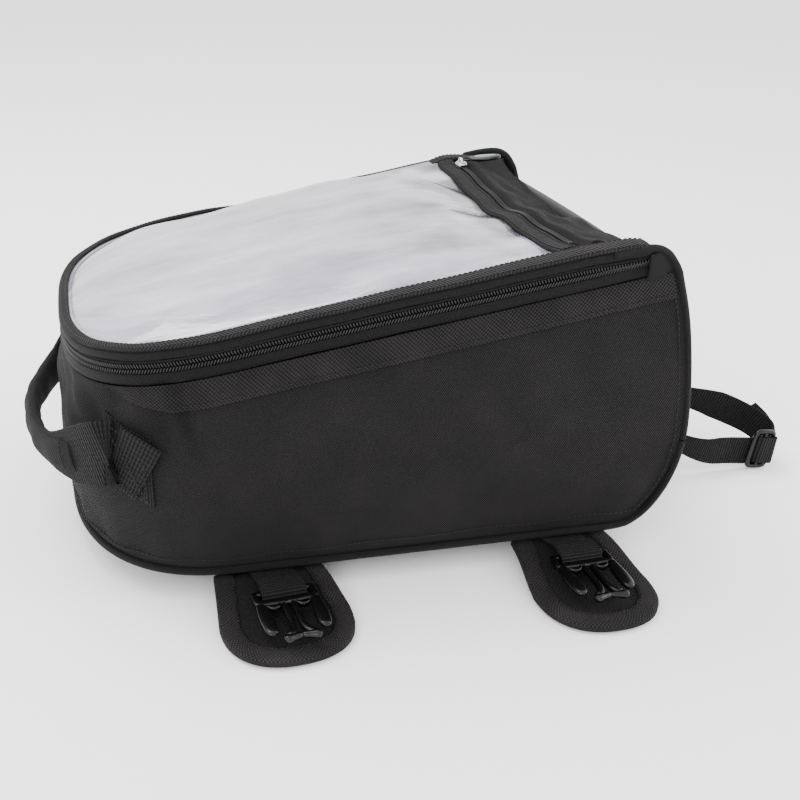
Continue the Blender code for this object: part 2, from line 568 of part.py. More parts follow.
def make_strap():
    line = smooth_line(STRAP_PATH)
    frames = ribbon_frames(line, [Vector((0, 0, 1))] * len(line))
    wide = [STRAP_WIDTH * min(1.0, 0.5 + 0.17 * min(i, len(line) - 1 - i)) for i in range(len(line))]
    rings = [[p + u * (w / 2 * a) + n * (STRAP_T / 2 * b) for a, b in ((-1, -1), (1, -1), (1, 1), (-1, 1))]
             for (p, u, n), w in zip(frames, wide)]
    loft("rear_strap", rings, "webbing", STRAP_PIVOT)
    # tri-glide adjuster: a frame with two slots, threaded on the strap near its loop end
    p, u, n = frames[12]
    tan = u.cross(n).normalized()
    if tan.x < 0:
        tan = -tan
    t_glide = Vector((p.x, p.y, p.z))
    plate_pts = [(-8, -14), (8, -14), (8, 14), (-8, 14)]
    off = -(STRAP_T / 2 + 2 * GAP + 1.3) if n.y > 0 else STRAP_T / 2 + 2 * GAP + 1.3
    rings = [[t_glide + tan * a + u * (b * 0.93 + 2.6) + n * (off + h) for a, b in plate_pts] for h in (-1.3, 1.3)]
    ob = loft("tri_glide", rings, "plastic", tuple(t_glide), smooth=False)
    for c in (-3.4, 3.4):
        slot = [[t_glide + tan * (c + a) + u * (b + 2.6) + n * (off + h)
                 for a, b in ((-1.9, -10.4), (1.9, -10.4), (1.9, 10.4), (-1.9, 10.4))] for h in (-4, 4)]
        cut(ob, loft("slot", slot, "plastic", tuple(t_glide)))


def main():
    clear_scene()
    make_body()
    make_lid()
    make_sliders()
    for end, x0 in FLAP_X.items():
        for name, side in (("near", -1), ("far", 1)):
            make_flap(end + "_" + name, x0, side, FLAP_LEN[end], FLAP_TURN[end])
    make_handle()
    make_strap()


main()
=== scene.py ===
"""Looks for the motorcycle tank bag. Lengths below are millimetres unless a name says otherwise."""
from math import copysign, cos, exp, hypot, pi, radians, sin, tan, tau

import bmesh
import bpy
import numpy as np
from mathutils import Matrix, Vector


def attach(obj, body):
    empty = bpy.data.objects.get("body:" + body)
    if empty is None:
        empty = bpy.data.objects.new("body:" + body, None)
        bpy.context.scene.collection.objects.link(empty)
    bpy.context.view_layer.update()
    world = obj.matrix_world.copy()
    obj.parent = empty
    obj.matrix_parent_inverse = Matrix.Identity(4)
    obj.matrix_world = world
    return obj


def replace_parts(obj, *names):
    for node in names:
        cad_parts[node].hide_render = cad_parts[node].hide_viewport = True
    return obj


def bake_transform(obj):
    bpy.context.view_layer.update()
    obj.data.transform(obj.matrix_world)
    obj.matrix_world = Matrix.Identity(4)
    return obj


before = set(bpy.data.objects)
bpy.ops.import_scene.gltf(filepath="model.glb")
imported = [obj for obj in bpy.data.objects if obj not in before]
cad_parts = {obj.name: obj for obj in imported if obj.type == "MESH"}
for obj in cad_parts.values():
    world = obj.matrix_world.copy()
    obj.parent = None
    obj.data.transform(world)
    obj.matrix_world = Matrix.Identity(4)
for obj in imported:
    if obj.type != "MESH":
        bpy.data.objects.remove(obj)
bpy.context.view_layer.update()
MM = 0.001

# --- shape of the CAD part ---
BASE = dict(nose=-156, rear=150, nose_len=87, power=2.48, half_nose=116, half_rear=116)
RIM = dict(nose=-154, rear=150, nose_len=99, power=2.9, half_nose=109, half_rear=114)
LID_Z, LID_SLOPE = 129.0, radians(9.9)
WALL_BOTTOM, WALL_TOP_REAR, WALL_DROP, SIDE_BULGE = 19.8, 165, 13.2, 4.5
REAR_PROFILE = [(150, 14.6), (161, 18), (171, 26), (179, 39), (184, 55), (185.5, 72), (183.5, 94),
                (179, 120), (173, 145), (165, 168), (160, 178), (152.6, 184)]
LID_REAR, LID_SIDE_REAR, ZIP_REAR = 149, 146, 155
BAND_X0, BAND_X1, POCKET_X = 102.5, 112.8, 116.0
PATCH_X0, PATCH_RUN, PATCH_CLIMB = -113, 20.5, 0.145     # handle patches climb a little towards the nose
SIDES = ((-1, "near"), (1, "far"))
PIPE_R, PIPE_Z = 2.3, 16.6                              # base and rear piping
PAD_REAR, BOARD_REAR = 122, 139
HANDLE_WIDE, HANDLE_H = 36.0, 0.54                      # webbing at the patches: width, height up the wall
TOOTH_PITCH, POCKET_PITCH = 1.6, 1.3
SETTLE_FRAMES, RISE_CAP = 24, 2.0                       # cloth simulation of the flap covers


def rim_z(x):
    return LID_Z + (x + 155) * tan(LID_SLOPE)


def clamp(k):
    return min(1.0, max(0.0, k))


def smooth(k):
    """0 to 1 with a level start and end."""
    k = clamp(k)
    return k * k * (3 - 2 * k)


def interp(x, xs, values):
    return float(np.interp(x, xs, values))


def bump1(x, centre, width):
    return exp(-((x - centre) / width) ** 2)


def turns(count):
    """Angles of count even steps round a circle."""
    return [tau * k / count for k in range(count)]


def power(value, e):
    """value ** e with the sign kept, for rounded rectangles and ovals."""
    return copysign(abs(value) ** e, value)


def link(ob):
    bpy.context.scene.collection.objects.link(ob)
    return ob


# --- materials ---
class Net:
    """Small helper for building shader node trees."""

    def __init__(self, name):
        self.mat = bpy.data.materials.new(name)
        self.mat.use_nodes = True
        self.nt = self.mat.node_tree
        self.bsdf = self.nt.nodes["Principled BSDF"]

    def add(self, kind, **values):
        node = self.nt.nodes.new(kind)
        for key, value in values.items():
            if hasattr(node, key):
                setattr(node, key, value)
            else:
                node.inputs[key.replace("_", " ")].default_value = value
        return node

    def link(self, a, b):
        self.nt.links.new(a, b)

    def surface(self, **values):
        """Set plain values on the surface shader, Base_Color for Base Color and so on."""
        for key, value in values.items():
            self.bsdf.inputs[key.replace("_", " ")].default_value = value

    def maths(self, op, a, b=None):
        node = self.add("ShaderNodeMath", operation=op)
        for i, value in enumerate((a, b)):
            if value is None:
                continue
            if isinstance(value, (int, float)):
                node.inputs[i].default_value = value
            else:
                self.link(value, node.inputs[i])
        return node.outputs[0]

    def uv(self):
        node = self.add("ShaderNodeUVMap")
        node.uv_map = "UVMap"
        split = self.add("ShaderNodeSeparateXYZ")
        self.link(node.outputs[0], split.inputs[0])
        return node.outputs[0], split.outputs[0], split.outputs[1]

    def noise(self, scale, detail=3.0, vector=None, rough=0.5):
        node = self.add("ShaderNodeTexNoise")
        node.inputs["Scale"].default_value = scale
        node.inputs["Detail"].default_value = detail
        node.inputs["Roughness"].default_value = rough
        if vector is None:
            vector = self.add("ShaderNodeTexCoord").outputs["Object"]
        self.link(vector, node.inputs["Vector"])
        return node.outputs["Fac"]

    def ramp(self, fac, stops):
        node = self.add("ShaderNodeValToRGB")
        els = node.color_ramp.elements
        els[0].position, els[0].color = stops[0][0], (*stops[0][1], 1)
        els[1].position, els[1].color = stops[-1][0], (*stops[-1][1], 1)
        for pos, col in stops[1:-1]:
            e = els.new(pos)
            e.color = (*col, 1)
        self.link(fac, node.inputs[0])
        return node.outputs[0]

    def bump(self, height, strength, distance, normal=None):
        node = self.add("ShaderNodeBump")
        node.inputs["Strength"].default_value = strength
        node.inputs["Distance"].default_value = distance
        self.link(height, node.inputs["Height"])
        if normal is not None:
            self.link(normal, node.inputs["Normal"])
        return node.outputs[0]

    def sine(self, value, pitch):
        return self.maths('SINE', self.maths('MULTIPLY', value, tau / pitch))


def woven(name, dark, light, kind, pitch, depth, rough, sheen):
    """Cloth whose weave follows the piece's own millimetre UVs."""
    n = Net(name)
    vec, u, v = n.uv()
    if kind == "twill":
        h = n.sine(n.maths('ADD', u, v), pitch)
        h = n.maths('ADD', h, n.maths('MULTIPLY', n.sine(n.maths('SUBTRACT', u, v), pitch * 0.5), 0.5))
    elif kind == "herringbone":
        zig = n.maths('PINGPONG', v, 4.0)
        h = n.sine(n.maths('ADD', u, zig), pitch)
    elif kind == "rib":
        h = n.maths('ADD', n.sine(u, pitch), n.maths('MULTIPLY', n.sine(v, pitch * 0.7), 0.35))
    else:                                              # open mesh
        h = n.maths('MULTIPLY', n.sine(u, pitch), n.sine(v, pitch))
    wide = n.noise(35, 4)
    mix = n.maths('ADD', n.maths('MULTIPLY', h, 0.34), n.maths('MULTIPLY', wide, 0.8))
    n.link(n.ramp(mix, [(0.2, dark), (0.85, light)]), n.bsdf.inputs["Base Color"])
    n.surface(Roughness=rough, Sheen_Weight=sheen, Sheen_Roughness=0.45, Specular_IOR_Level=0.16)
    big = n.bump(wide, 0.25, 0.004)
    n.link(n.bump(h, 1.0, depth, big), n.bsdf.inputs["Normal"])
    return n.mat


def plain(name, colour, rough, metallic=0.0, spec=0.5, coat=0.0, grain=0.0, scale=300):
    n = Net(name)
    n.surface(Base_Color=(*colour, 1), Metallic=metallic, Specular_IOR_Level=spec, Coat_Weight=coat)
    fac = n.noise(scale, 3)
    span = n.add("ShaderNodeMapRange")
    span.inputs["To Min"].default_value = rough * 0.8
    span.inputs["To Max"].default_value = rough * 1.25
    n.link(fac, span.inputs["Value"])
    n.link(span.outputs[0], n.bsdf.inputs["Roughness"])
    if grain:
        n.link(n.bump(fac, 0.5, grain), n.bsdf.inputs["Normal"])
    return n.mat


def window_film():
    """Soft clear sheet: hazy lilac, streaky, with a wet shine."""
    n = Net("clear_film")
    vec, u, v = n.uv()
    stretch = n.add("ShaderNodeMapping")
    stretch.inputs["Scale"].default_value = (0.011, 0.035, 1.0)
    n.link(vec, stretch.inputs["Vector"])
    streak = n.noise(1.0, 5, stretch.outputs[0], 0.6)
    cloud = n.noise(9, 3)
    smoke = n.ramp(n.noise(21, 2), [(0.40, (0, 0, 0)), (0.62, (1, 1, 1))])
    place = n.add("ShaderNodeSeparateXYZ")
    n.link(n.add("ShaderNodeTexCoord").outputs["Object"], place.inputs[0])
    rear = n.ramp(n.maths('MULTIPLY', place.outputs[0], 6.0), [(0.12, (0, 0, 0)), (0.58, (1, 1, 1))])
    smoke = n.maths('MULTIPLY', n.maths('MULTIPLY', smoke, rear), 0.55)
    fac = n.maths('ADD', n.maths('MULTIPLY', streak, 0.7), n.maths('MULTIPLY', cloud, 0.35))
    fac = n.maths('SUBTRACT', fac, smoke)
    col = n.ramp(fac, [(0.20, (0.06, 0.056, 0.075)), (0.36, (0.20, 0.19, 0.23)), (0.50, (0.36, 0.35, 0.42)),
                       (0.66, (0.55, 0.545, 0.62))])
    n.link(col, n.bsdf.inputs["Base Color"])
    n.surface(Roughness=0.22, Specular_IOR_Level=0.6, Coat_Weight=0.8, Coat_Roughness=0.06, Alpha=0.9)
    n.link(n.bump(streak, 0.5, 0.006), n.bsdf.inputs["Normal"])
    return n.mat


DARK = (0.0012, 0.001, 0.0011)                          # bottom of an open weave
M = dict(
    nylon=woven("nylon", (0.0018, 0.0014, 0.0016), (0.017, 0.0138, 0.0158), "twill", 1.5, 0.0005, 0.8, 0.02),
    bindcloth=woven("bindcloth", (0.0015, 0.0012, 0.0014), (0.024, 0.0196, 0.0222), "herringbone", 2.0,
                    0.0007, 0.8, 0.02),
    smoothband=woven("smoothband", (0.0012, 0.001, 0.0012), (0.0062, 0.0052, 0.0058), "twill", 1.1, 0.0003,
                     0.65, 0.02),
    mesh=woven("mesh", DARK, (0.03, 0.0245, 0.0275), "mesh", 2.2, 0.0009, 0.8, 0.02),
    webbing=woven("webbing", (0.0008, 0.0007, 0.0008), (0.02, 0.0168, 0.0188), "rib", 1.8, 0.0009,
                  0.75, 0.01),
    dotted=woven("dotted", DARK, (0.042, 0.0345, 0.0388), "mesh", 2.1, 0.001, 0.8, 0.02),
    foam=plain("foam", (0.03, 0.03, 0.032), 0.95, grain=0.0008, scale=900),
    fleece=plain("fleece", (0.02, 0.02, 0.021), 0.98, grain=0.002, scale=1400),
    coil=plain("coil", (0.003, 0.003, 0.003), 0.36, spec=0.32),
    thread=plain("thread", (0.004, 0.0035, 0.0038), 0.6, spec=0.3),
    gloss=plain("gloss", (0.0015, 0.0015, 0.0018), 0.27, spec=0.3, scale=40),
    lining=plain("lining", (0.045, 0.045, 0.048), 0.95, grain=0.0006, scale=500),
    matte=plain("matte", (0.02, 0.02, 0.021), 0.5),
    nickel=plain("nickel", (0.62, 0.61, 0.58), 0.24, 1.0),
    # pale colour of the window sheet's rolled edge: a painted highlight
    painted_highlight=plain("painted_highlight", (0.62, 0.62, 0.66), 0.2, spec=0.6, coat=0.3),
    # lighter slate of the zip pulls' faces: partly their own colour, partly a painted highlight
    slate_and_painted_highlight=plain("slate_and_painted_highlight", (0.05, 0.065, 0.085), 0.12, spec=0.6, coat=0.3),
    film=window_film(),
)


# --- mesh builders ---
def make(name, verts, faces, mat, body, uvs=None, bevel=0.0):
    mesh = bpy.data.meshes.new(name)
    mesh.from_pydata([(v[0] * MM, v[1] * MM, v[2] * MM) for v in verts], [], faces)
    if uvs is not None:
        layer = mesh.uv_layers.new(name="UVMap")
        for loop in mesh.loops:
            layer.data[loop.index].uv = uvs[loop.vertex_index]
    bm = bmesh.new()
    bm.from_mesh(mesh)
    bmesh.ops.recalc_face_normals(bm, faces=bm.faces)
    bm.to_mesh(mesh)
    bm.free()
    for p in mesh.polygons:
        p.use_smooth = True
    ob = link(bpy.data.objects.new(name, mesh))
    mesh.materials.append(M[mat])
    if bevel:
        mod = ob.modifiers.new("bevel", 'BEVEL')
        mod.width, mod.segments, mod.limit_method, mod.angle_limit = bevel * MM, 2, 'ANGLE', radians(35)
    if body:
        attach(ob, body)
    return ob


def arc(points):
    """Distance along a line at each of its points."""
    out = [0.0]
    for a, b in zip(points, points[1:]):
        out.append(out[-1] + (Vector(b) - Vector(a)).length)
    return out


def sheet_solid(name, outer, inner, mat, body, **kw):
    """Closed cloth sheet between two grids, with UVs in millimetres."""
    rows, cols = len(outer), len(outer[0])
    verts = [tuple(p) for r in outer for p in r] + [tuple(p) for r in inner for p in r]
    mid_row, mid_col = outer[rows // 2], [r[cols // 2] for r in outer]
    au, av = arc(mid_col), arc(mid_row)
    uvs = [(au[i], av[j]) for i in range(rows) for j in range(cols)] * 2
    half, faces = rows * cols, []
    for i in range(rows - 1):
        for j in range(cols - 1):
            a, b, c, d = i * cols + j, i * cols + j + 1, (i + 1) * cols + j + 1, (i + 1) * cols + j
            faces += [(a, b, c, d), (half + d, half + c, half + b, half + a)]
    rim = [j for j in range(cols)] + [i * cols + cols - 1 for i in range(1, rows)]
    rim += [(rows - 1) * cols + j for j in range(cols - 2, -1, -1)]
    rim += [i * cols for i in range(rows - 2, 0, -1)]
    for k, a in enumerate(rim):
        b = rim[(k + 1) % len(rim)]
        faces.append((b, a, half + a, half + b))
    return make(name, verts, faces, mat, body, uvs, **kw)


def layers(offsets, steps, row):
    """Grids for sheet_solid: row(step, offset) for every step, once for each offset."""
    return [[row(k, off) for k in steps] for off in offsets]


def across_bag(path, rear, inset, spread, height):
    """Grids for sheet_solid over the inside of an outline, from edge to edge at every station."""
    grids = ([], [])
    for x, y, nx, ny in path[:len(path) // 2]:
        x, y = min(x + nx * inset, rear), y + ny * inset
        for k, g in enumerate(grids):
            g.append([(x, -y * c, height(x, -y * c, k)) for c in spread])
    return grids


def loft(name, rings, mat, body, **kw):
    """Closed solid through equal rings of points, capped at both ends."""
    n, verts, faces = len(rings[0]), [tuple(p) for r in rings for p in r], []
    au, av = arc([r[0] for r in rings]), arc(list(rings[len(rings) // 2]))
    uvs = [(au[i], av[j]) for i in range(len(rings)) for j in range(n)]
    for i in range(len(rings) - 1):
        for j in range(n):
            k = (j + 1) % n
            faces.append((i * n + j, i * n + k, (i + 1) * n + k, (i + 1) * n + j))
    faces += [tuple(range(n))[::-1], tuple((len(rings) - 1) * n + j for j in range(n))]
    return make(name, verts, faces, mat, body, uvs, **kw)


def along_line(pts, i):
    """Unit direction of a line at its point i."""
    return (pts[min(i + 1, len(pts) - 1)] - pts[max(i - 1, 0)]).normalized()


def frames(line, up=(0, 0, 1)):
    out = []
    for i, p in enumerate(line):
        run = along_line(line, i)
        ref = Vector(up[i]) if isinstance(up, list) else Vector(up)
        u = ref - run * ref.dot(run)
        u = u.normalized() if u.length > 1e-4 else run.orthogonal().normalized()
        out.append((p, u, run.cross(u).normalized()))
    return out


def tube(name, line, radius, mat, body, sides=12, **kw):
    rings = [[p + (u * cos(a) + n * sin(a)) * radius for a in turns(sides)]
             for p, u, n in frames([Vector(q) for q in line])]
    return loft(name, rings, mat, body, **kw)


def hoop(points, across, wide, high, mat, sides):
    """Closed ring of round bar through points, which lie in the plane across is square to."""
    count, verts, faces = len(points), [], []
    for i, p in enumerate(points):
        d = (points[(i + 1) % count] - points[i - 1]).normalized()
        out = d.cross(across).normalized()
        verts += [tuple(p + out * (wide * cos(q)) + across * (high * sin(q))) for q in turns(sides)]
        j = (i + 1) % count
        faces += [(i * sides + m, i * sides + (m + 1) % sides, j * sides + (m + 1) % sides, j * sides + m)
                  for m in range(sides)]
    return make("moulded", verts, faces, mat, None)


def rods(name, pairs, radius, mat, body, sides=6):
    """Many short round-ended rods in one mesh, for zip teeth and stitches."""
    verts, faces = [], []
    for a, b in pairs:
        a, b = Vector(a), Vector(b)
        d = (b - a).normalized()
        u = d.orthogonal().normalized()
        w = d.cross(u)
        start = len(verts)
        span = (b - a).length
        for pos, r in ((0, 0.45), (0.12, 1), (0.88, 1), (1, 0.45)):
            for k in range(sides):
                q = tau * k / sides
                verts.append(a + d * span * pos + (u * cos(q) + w * sin(q)) * radius * r)
        for i in range(3):
            for k in range(sides):
                m = (k + 1) % sides
                faces.append((start + i * sides + k, start + i * sides + m, start + (i + 1) * sides + m,
                              start + (i + 1) * sides + k))
        faces.append(tuple(start + k for k in range(sides))[::-1])
        faces.append(tuple(start + 3 * sides + k for k in range(sides)))
    return make(name, verts, faces, mat, body)


def resample(points, step):
    """The same line with points about one step apart."""
    pts = [Vector(p) for p in points]
    lengths = arc(pts)
    total, out, i = lengths[-1], [], 0
    count = max(2, int(total / step))
    for k in range(count + 1):
        s = total * k / count
        while i < len(pts) - 2 and lengths[i + 1] < s:
            i += 1
        f = (s - lengths[i]) / max(1e-9, lengths[i + 1] - lengths[i])
        out.append(pts[i].lerp(pts[i + 1], f))
    return out


def stitches(name, path, body, pitch=3.2, fill=0.62, radius=0.42):
    pts = resample(path, pitch)
    pairs = [(a, a.lerp(b, fill)) for a, b in zip(pts, pts[1:])]
    return rods(name, pairs, radius, "thread", body, 5)


def smooth_line(points, steps=6):
    pts = [Vector(p) for p in points]
    out = []
    for i in range(len(pts) - 1):
        a, b, c, d = pts[max(i - 1, 0)], pts[i], pts[i + 1], pts[min(i + 2, len(pts) - 1)]
        for k in range(steps):
            t = k / steps
            out.append(0.5 * (2 * b + (c - a) * t + (2 * a - 5 * b + 4 * c - d) * t * t
                              + (3 * b - a - 3 * c + d) * t ** 3))
    return out + [pts[-1]]


# --- outlines and wall, as in the CAD part ---
def outline(shape, t):
    """Point on the near half of an outline: t 0 at the rear, 0.5 where the nose starts, 1 at its tip."""
    start = shape["nose"] + shape["nose_len"]
    if t <= 0.5:
        k = t / 0.5
        return (shape["rear"] + (start - shape["rear"]) * k,
                -(shape["half_rear"] + (shape["half_nose"] - shape["half_rear"]) * k))
    turn = pi / 2 * (1 - (t - 0.5) / 0.5)
    e = 2 / shape["power"]
    return start - shape["nose_len"] * cos(turn) ** e, -shape["half_nose"] * sin(turn) ** e


def stations(side=60, nose=60, last=0.997):
    return [0.5 * i / side for i in range(side)] + [0.5 + (last - 0.5) * i / nose for i in range(nose + 1)]


def full_path(shape, rear=None, ts=None):
    shape = dict(shape, rear=rear if rear is not None else shape["rear"])
    near = [outline(shape, t) for t in (ts or stations())]
    pts = near + [(x, -y) for x, y in reversed(near)]
    out = []
    for i, (x, y) in enumerate(pts):
        a, b = pts[max(i - 1, 0)], pts[min(i + 1, len(pts) - 1)]
        dx, dy = b[0] - a[0], b[1] - a[1]
        n = hypot(dx, dy)
        nx, ny = -dy / n, dx / n
        out.append((x, y, nx, ny) if -x * nx - y * ny > 0 else (x, y, -nx, -ny))
    return out


RIM_PATH = full_path(RIM, LID_SIDE_REAR)
ZIP_PATH = full_path(RIM, ZIP_REAR)


def rim_line(inset, dz, path):
    return [(x + nx * inset, y + ny * inset, rim_z(x + nx * inset) + dz) for x, y, nx, ny in path]


def edge_ring(name, section, mat, body, wobble=0.0, path=None, **kw):
    rings = []
    for i, (x, y, nx, ny) in enumerate(path or RIM_PATH):
        w = wobble * (sin(i * 0.37) + sin(i * 0.151 + 1.3)) * 0.5
        w += edge_sag(x, y) if body == "lid" else 0.0
        rings.append([(x + nx * s, y + ny * s, rim_z(x + nx * s) + dz + w) for s, dz in section])
    return loft(name, rings, mat, body, **kw)


def profile_x(z):
    for (x0, z0), (x1, z1) in zip(REAR_PROFILE, REAR_PROFILE[1:]):
        if z <= z1:
            return x0 + (x1 - x0) * max(0.0, (z - z0)) / (z1 - z0)
    return REAR_PROFILE[-1][0]


def rear_h(z):
    """Height along the wall's rear edge, 0 to 1, for a height z."""
    return clamp((z - WALL_BOTTOM) / (WALL_TOP_REAR - WALL_BOTTOM))


def wall_raw(side, t, h):
    """Point on the outer face of the wall, h 0 at the base and 1 under the zip."""
    bx, by = outline(BASE, t)
    tx, ty = outline(RIM, t)
    zt = rim_z(tx) - WALL_DROP
    x, y, z = bx + (tx - bx) * h, by + (ty - by) * h, WALL_BOTTOM + (zt - WALL_BOTTOM) * h
    lean = max(0.0, 1 - t / 0.4) ** 2
    shift = 0.0
    for _ in range(3):
        top = z + shift * h * tan(LID_SLOPE)
        shift = lean * (profile_x(top) - 3.4 - max(0.0, 48 - top) * 0.13 - x)
    x, z = x + shift, z + shift * h * tan(LID_SLOPE)
    puff = SIDE_BULGE * sin(pi * min(h, 1)) ** 0.8 * min(1.0, 0.35 + t * 3)
    n = hypot(x * 0.25, y)
    return Vector((x + puff * (x * 0.25 / n if t > 0.5 else 0), side * -1 * (y + puff * y / n), z))


def wall(side, t, h, off=0.0):
    """The same point moved out along the wall's normal."""
    p = wall_raw(side, t, h)
    e = 0.004
    du = wall_raw(side, min(t + e, 1.0), h) - wall_raw(side, max(t - e, 0.0), h)
    dv = wall_raw(side, t, min(h + e, 1.0)) - wall_raw(side, t, max(h - e, 0.0))
    n = du.cross(dv).normalized()
    if n.dot(Vector((p.x * 0.3, p.y, 0))) < 0:
        n = -n
    return p + n * off


def wall_t(x, h):
    lo, hi = 0.0, 1.0
    for _ in range(40):
        mid = (lo + hi) / 2
        lo, hi = (mid, hi) if wall_raw(-1, mid, h).x > x else (lo, mid)
    return lo


# --- body ---
def wrinkle(side, t, h):
    """Soft folds of the body cloth: a pleat where the mesh band tucks in, creases on the nose."""
    s = side * 1.7
    out = 0.5 * sin(9 * t + 4 * h + s) * sin(pi * h)
    out += 0.45 * sin(31 * t - 7 * h + s) * sin(pi * h) ** 2
    nose = smooth((t - 0.5) / 0.12)
    top = smooth((h - 0.45) / 0.4) * smooth((1.02 - h) / 0.12)
    out += nose * top * (1.5 * sin(38 * t + 10 * h + s) + 0.8 * sin(71 * t - 16 * h))
    out += -2.4 * bump1(t - 0.09 * (h - 0.8), 0.575, 0.011) * smooth((h - 0.55) / 0.3)
    out += 1.6 * bump1(t - 0.12 * (h - 0.8), 0.60, 0.014) * smooth((h - 0.5) / 0.3)
    low = smooth((0.3 - h) / 0.25) * smooth(h / 0.06)
    out += low * 0.9 * sin(55 * t + s)
    return out


def make_body():
    ts, hs = stations(70, 90), [k / 34 for k in range(35)]

    def grid(off):
        rows = []
        for side, order in ((-1, ts), (1, ts[::-1])):
            for t in order:
                hem = wall(side, t, 0, off - 2.2)          # the lower edge tucks in behind the piping
                hem.z = 16.9
                rows.append([hem] + [wall(side, t, h, off + wrinkle(side, t, h)) for h in hs])
        reach = Vector((3.6, 0, 0))                           # the rear edges run in under the piping
        return [[p + reach for p in rows[0]]] + rows + [[p + reach for p in rows[-1]]]
    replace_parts(sheet_solid("body_side", grid(0), grid(-1.5), "nylon", "bag"), "side_wall")

    pts = smooth_line([(x, 0, z) for x, z in REAR_PROFILE], 5)
    rows = ([], [])
    for i, p in enumerate(pts):
        d = along_line(pts, i)
        h = rear_h(p.z)
        w = min(114, abs(wall(-1, 0.0, h).y) - 3.0) - max(0.0, p.z - 150) * 0.3
        puff = 4.0 * sin(pi * i / (len(pts) - 1))
        for rows_k, off in zip(rows, (0, -1.6)):
            row = []
            for j in range(-24, 25):
                c = j / 24
                fold = 0.7 * sin(7 * c + i * 0.21) * cos(c * pi / 2)
                drop = 1.45 * sag(p.x, w * c) * smooth((p.z - 120) / 64)
                row.append((p.x + d.z * (off + fold) + puff * cos(pi / 2 * c), w * c,
                            p.z - d.x * (off + fold) + drop))
            rows_k.append(row)
    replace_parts(sheet_solid("body_rear", *rows, "nylon", "bag"), "rear_wall")

    line = [Vector((126, -112.4, 180.8)), Vector((136, -112.4, 182.6)), Vector((145, -112.4, 183.4)),
            Vector((151.5, -112.3, 182.8)), Vector((157, -112.4, 180)), Vector((160.8, -112.7, 175.8))]
    for x, z in reversed([(p.x, p.z) for p in pts if 21 < p.z < 171]):
        y = wall(-1, 0.0, rear_h(z)).y
        line.append(Vector((x + 0.2, y + 0.6, z)))
    line += [Vector((159, -116, 17.8))]
    near = full_path(BASE, 147, stations(30, 50))
    line += [Vector((x, y, PIPE_Z)) for x, y, _, _ in near[:len(near) // 2]]
    line += [Vector((p.x, -p.y, p.z)) for p in reversed(line)]
    pipe = tube("edge_piping_round", resample(smooth_line(line, 3), 1.6), PIPE_R, "smoothband", "bag", 14)
    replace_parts(pipe, "edge_piping")
    # seam stitches on the wall just above the base piping and along the rear piping
    for side, tag in SIDES:
        low = [wall(side, t, 0.045, 0.6 + wrinkle(side, t, 0.045)) for t in stations(60, 60, 0.99)]
        stitches("seam_base_" + tag, low, "bag")
        up = [wall(side, 0.012, h, 0.6) for h in hs[2:-1]]
        stitches("seam_rear_" + tag, up, "bag")

    path = full_path(BASE, 146, stations(20, 40))
    grids = across_bag(path, 146, 2.7, np.linspace(-1, 1, 13), lambda x, y, k: (16.2, 14.2)[k])
    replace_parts(sheet_solid("base_cloth", *grids, "nylon", "bag"), "base_panel")
    make_pad()

    def zip_end(k, off):
        """Cloth that closes the end of the zip, from the last tooth to the rear piping."""
        row = []
        for j in range(11):
            z = 182.4 - 19.0 * j / 10
            x = 146.0 + (profile_x(z) + 0.6 - 146.0) * k / 10
            row.append((x, side * (114.9 + off + 0.8 * sin(pi * j / 10) - 2.2 * smooth((k - 4) / 6)),
                        z - 1.5 * (1 - k / 10)))
        return row
    for side, tag in SIDES:
        sheet_solid("zip_end_cloth_" + tag, *layers((0.0, -1.2), range(11), zip_end), "smoothband", "bag")
    for side, tag in SIDES:
        make_band(side, tag)
        make_patch(side, tag)


def make_pad():
    path = full_path(BASE, PAD_REAR, stations(20, 40))
    rings = []
    for inset, z in ((34, 13.5), (31, 12.4), (30, 10), (30, 3.5), (31, 1.2), (34, 0.1)):
        rear = PAD_REAR - (inset - 30) * 0.7
        rings.append([(min(x + nx * inset, rear), y + ny * inset, z) for x, y, nx, ny in path])
    pad = loft("base_pad_soft", rings, "foam", "bag")
    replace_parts(pad, "base_pad")


def make_band(side, tag):
    """Mesh webbing band under the zip, tucking into the pleat at its front end."""
    t_front, t_end = wall_t(-100, 0.9), wall_t(-133, 0.95)
    ts = [0.008 + (t_end - 0.008) * k / 120 for k in range(121)]

    def reach(t):
        return 14.0 * (1 - max(0.0, (t - t_front) / (t_end - t_front)) ** 1.1) + 0.5

    def across(t, off):
        high = wall_raw(side, t, 1).z - WALL_BOTTOM
        tuck = smooth((t - t_front) / (t_end - t_front))
        row = []
        for k in range(9):
            h = 1 - reach(t) * (1 - k / 8) / high
            roll = -0.5 * (abs(k - 4) / 4) ** 3
            row.append(wall(side, t, h, off + wrinkle(side, t, h) * (0.6 + 0.4 * tuck) + roll - 0.9 * tuck))
        return row
    grids = layers((2.2, 0.6), ts, across)
    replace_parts(sheet_solid("mesh_band_" + tag, *grids, "mesh", "bag"), "zip_band_" + tag)
    line = []
    for t in ts[:-24]:
        h = 1 - (reach(t) - 2.6) / (wall_raw(side, t, 1).z - WALL_BOTTOM)
        line.append(wall(side, t, h, 2.25 + wrinkle(side, t, h) * 0.6))
    stitches("mesh_band_seam_" + tag, line, "bag", radius=0.28)


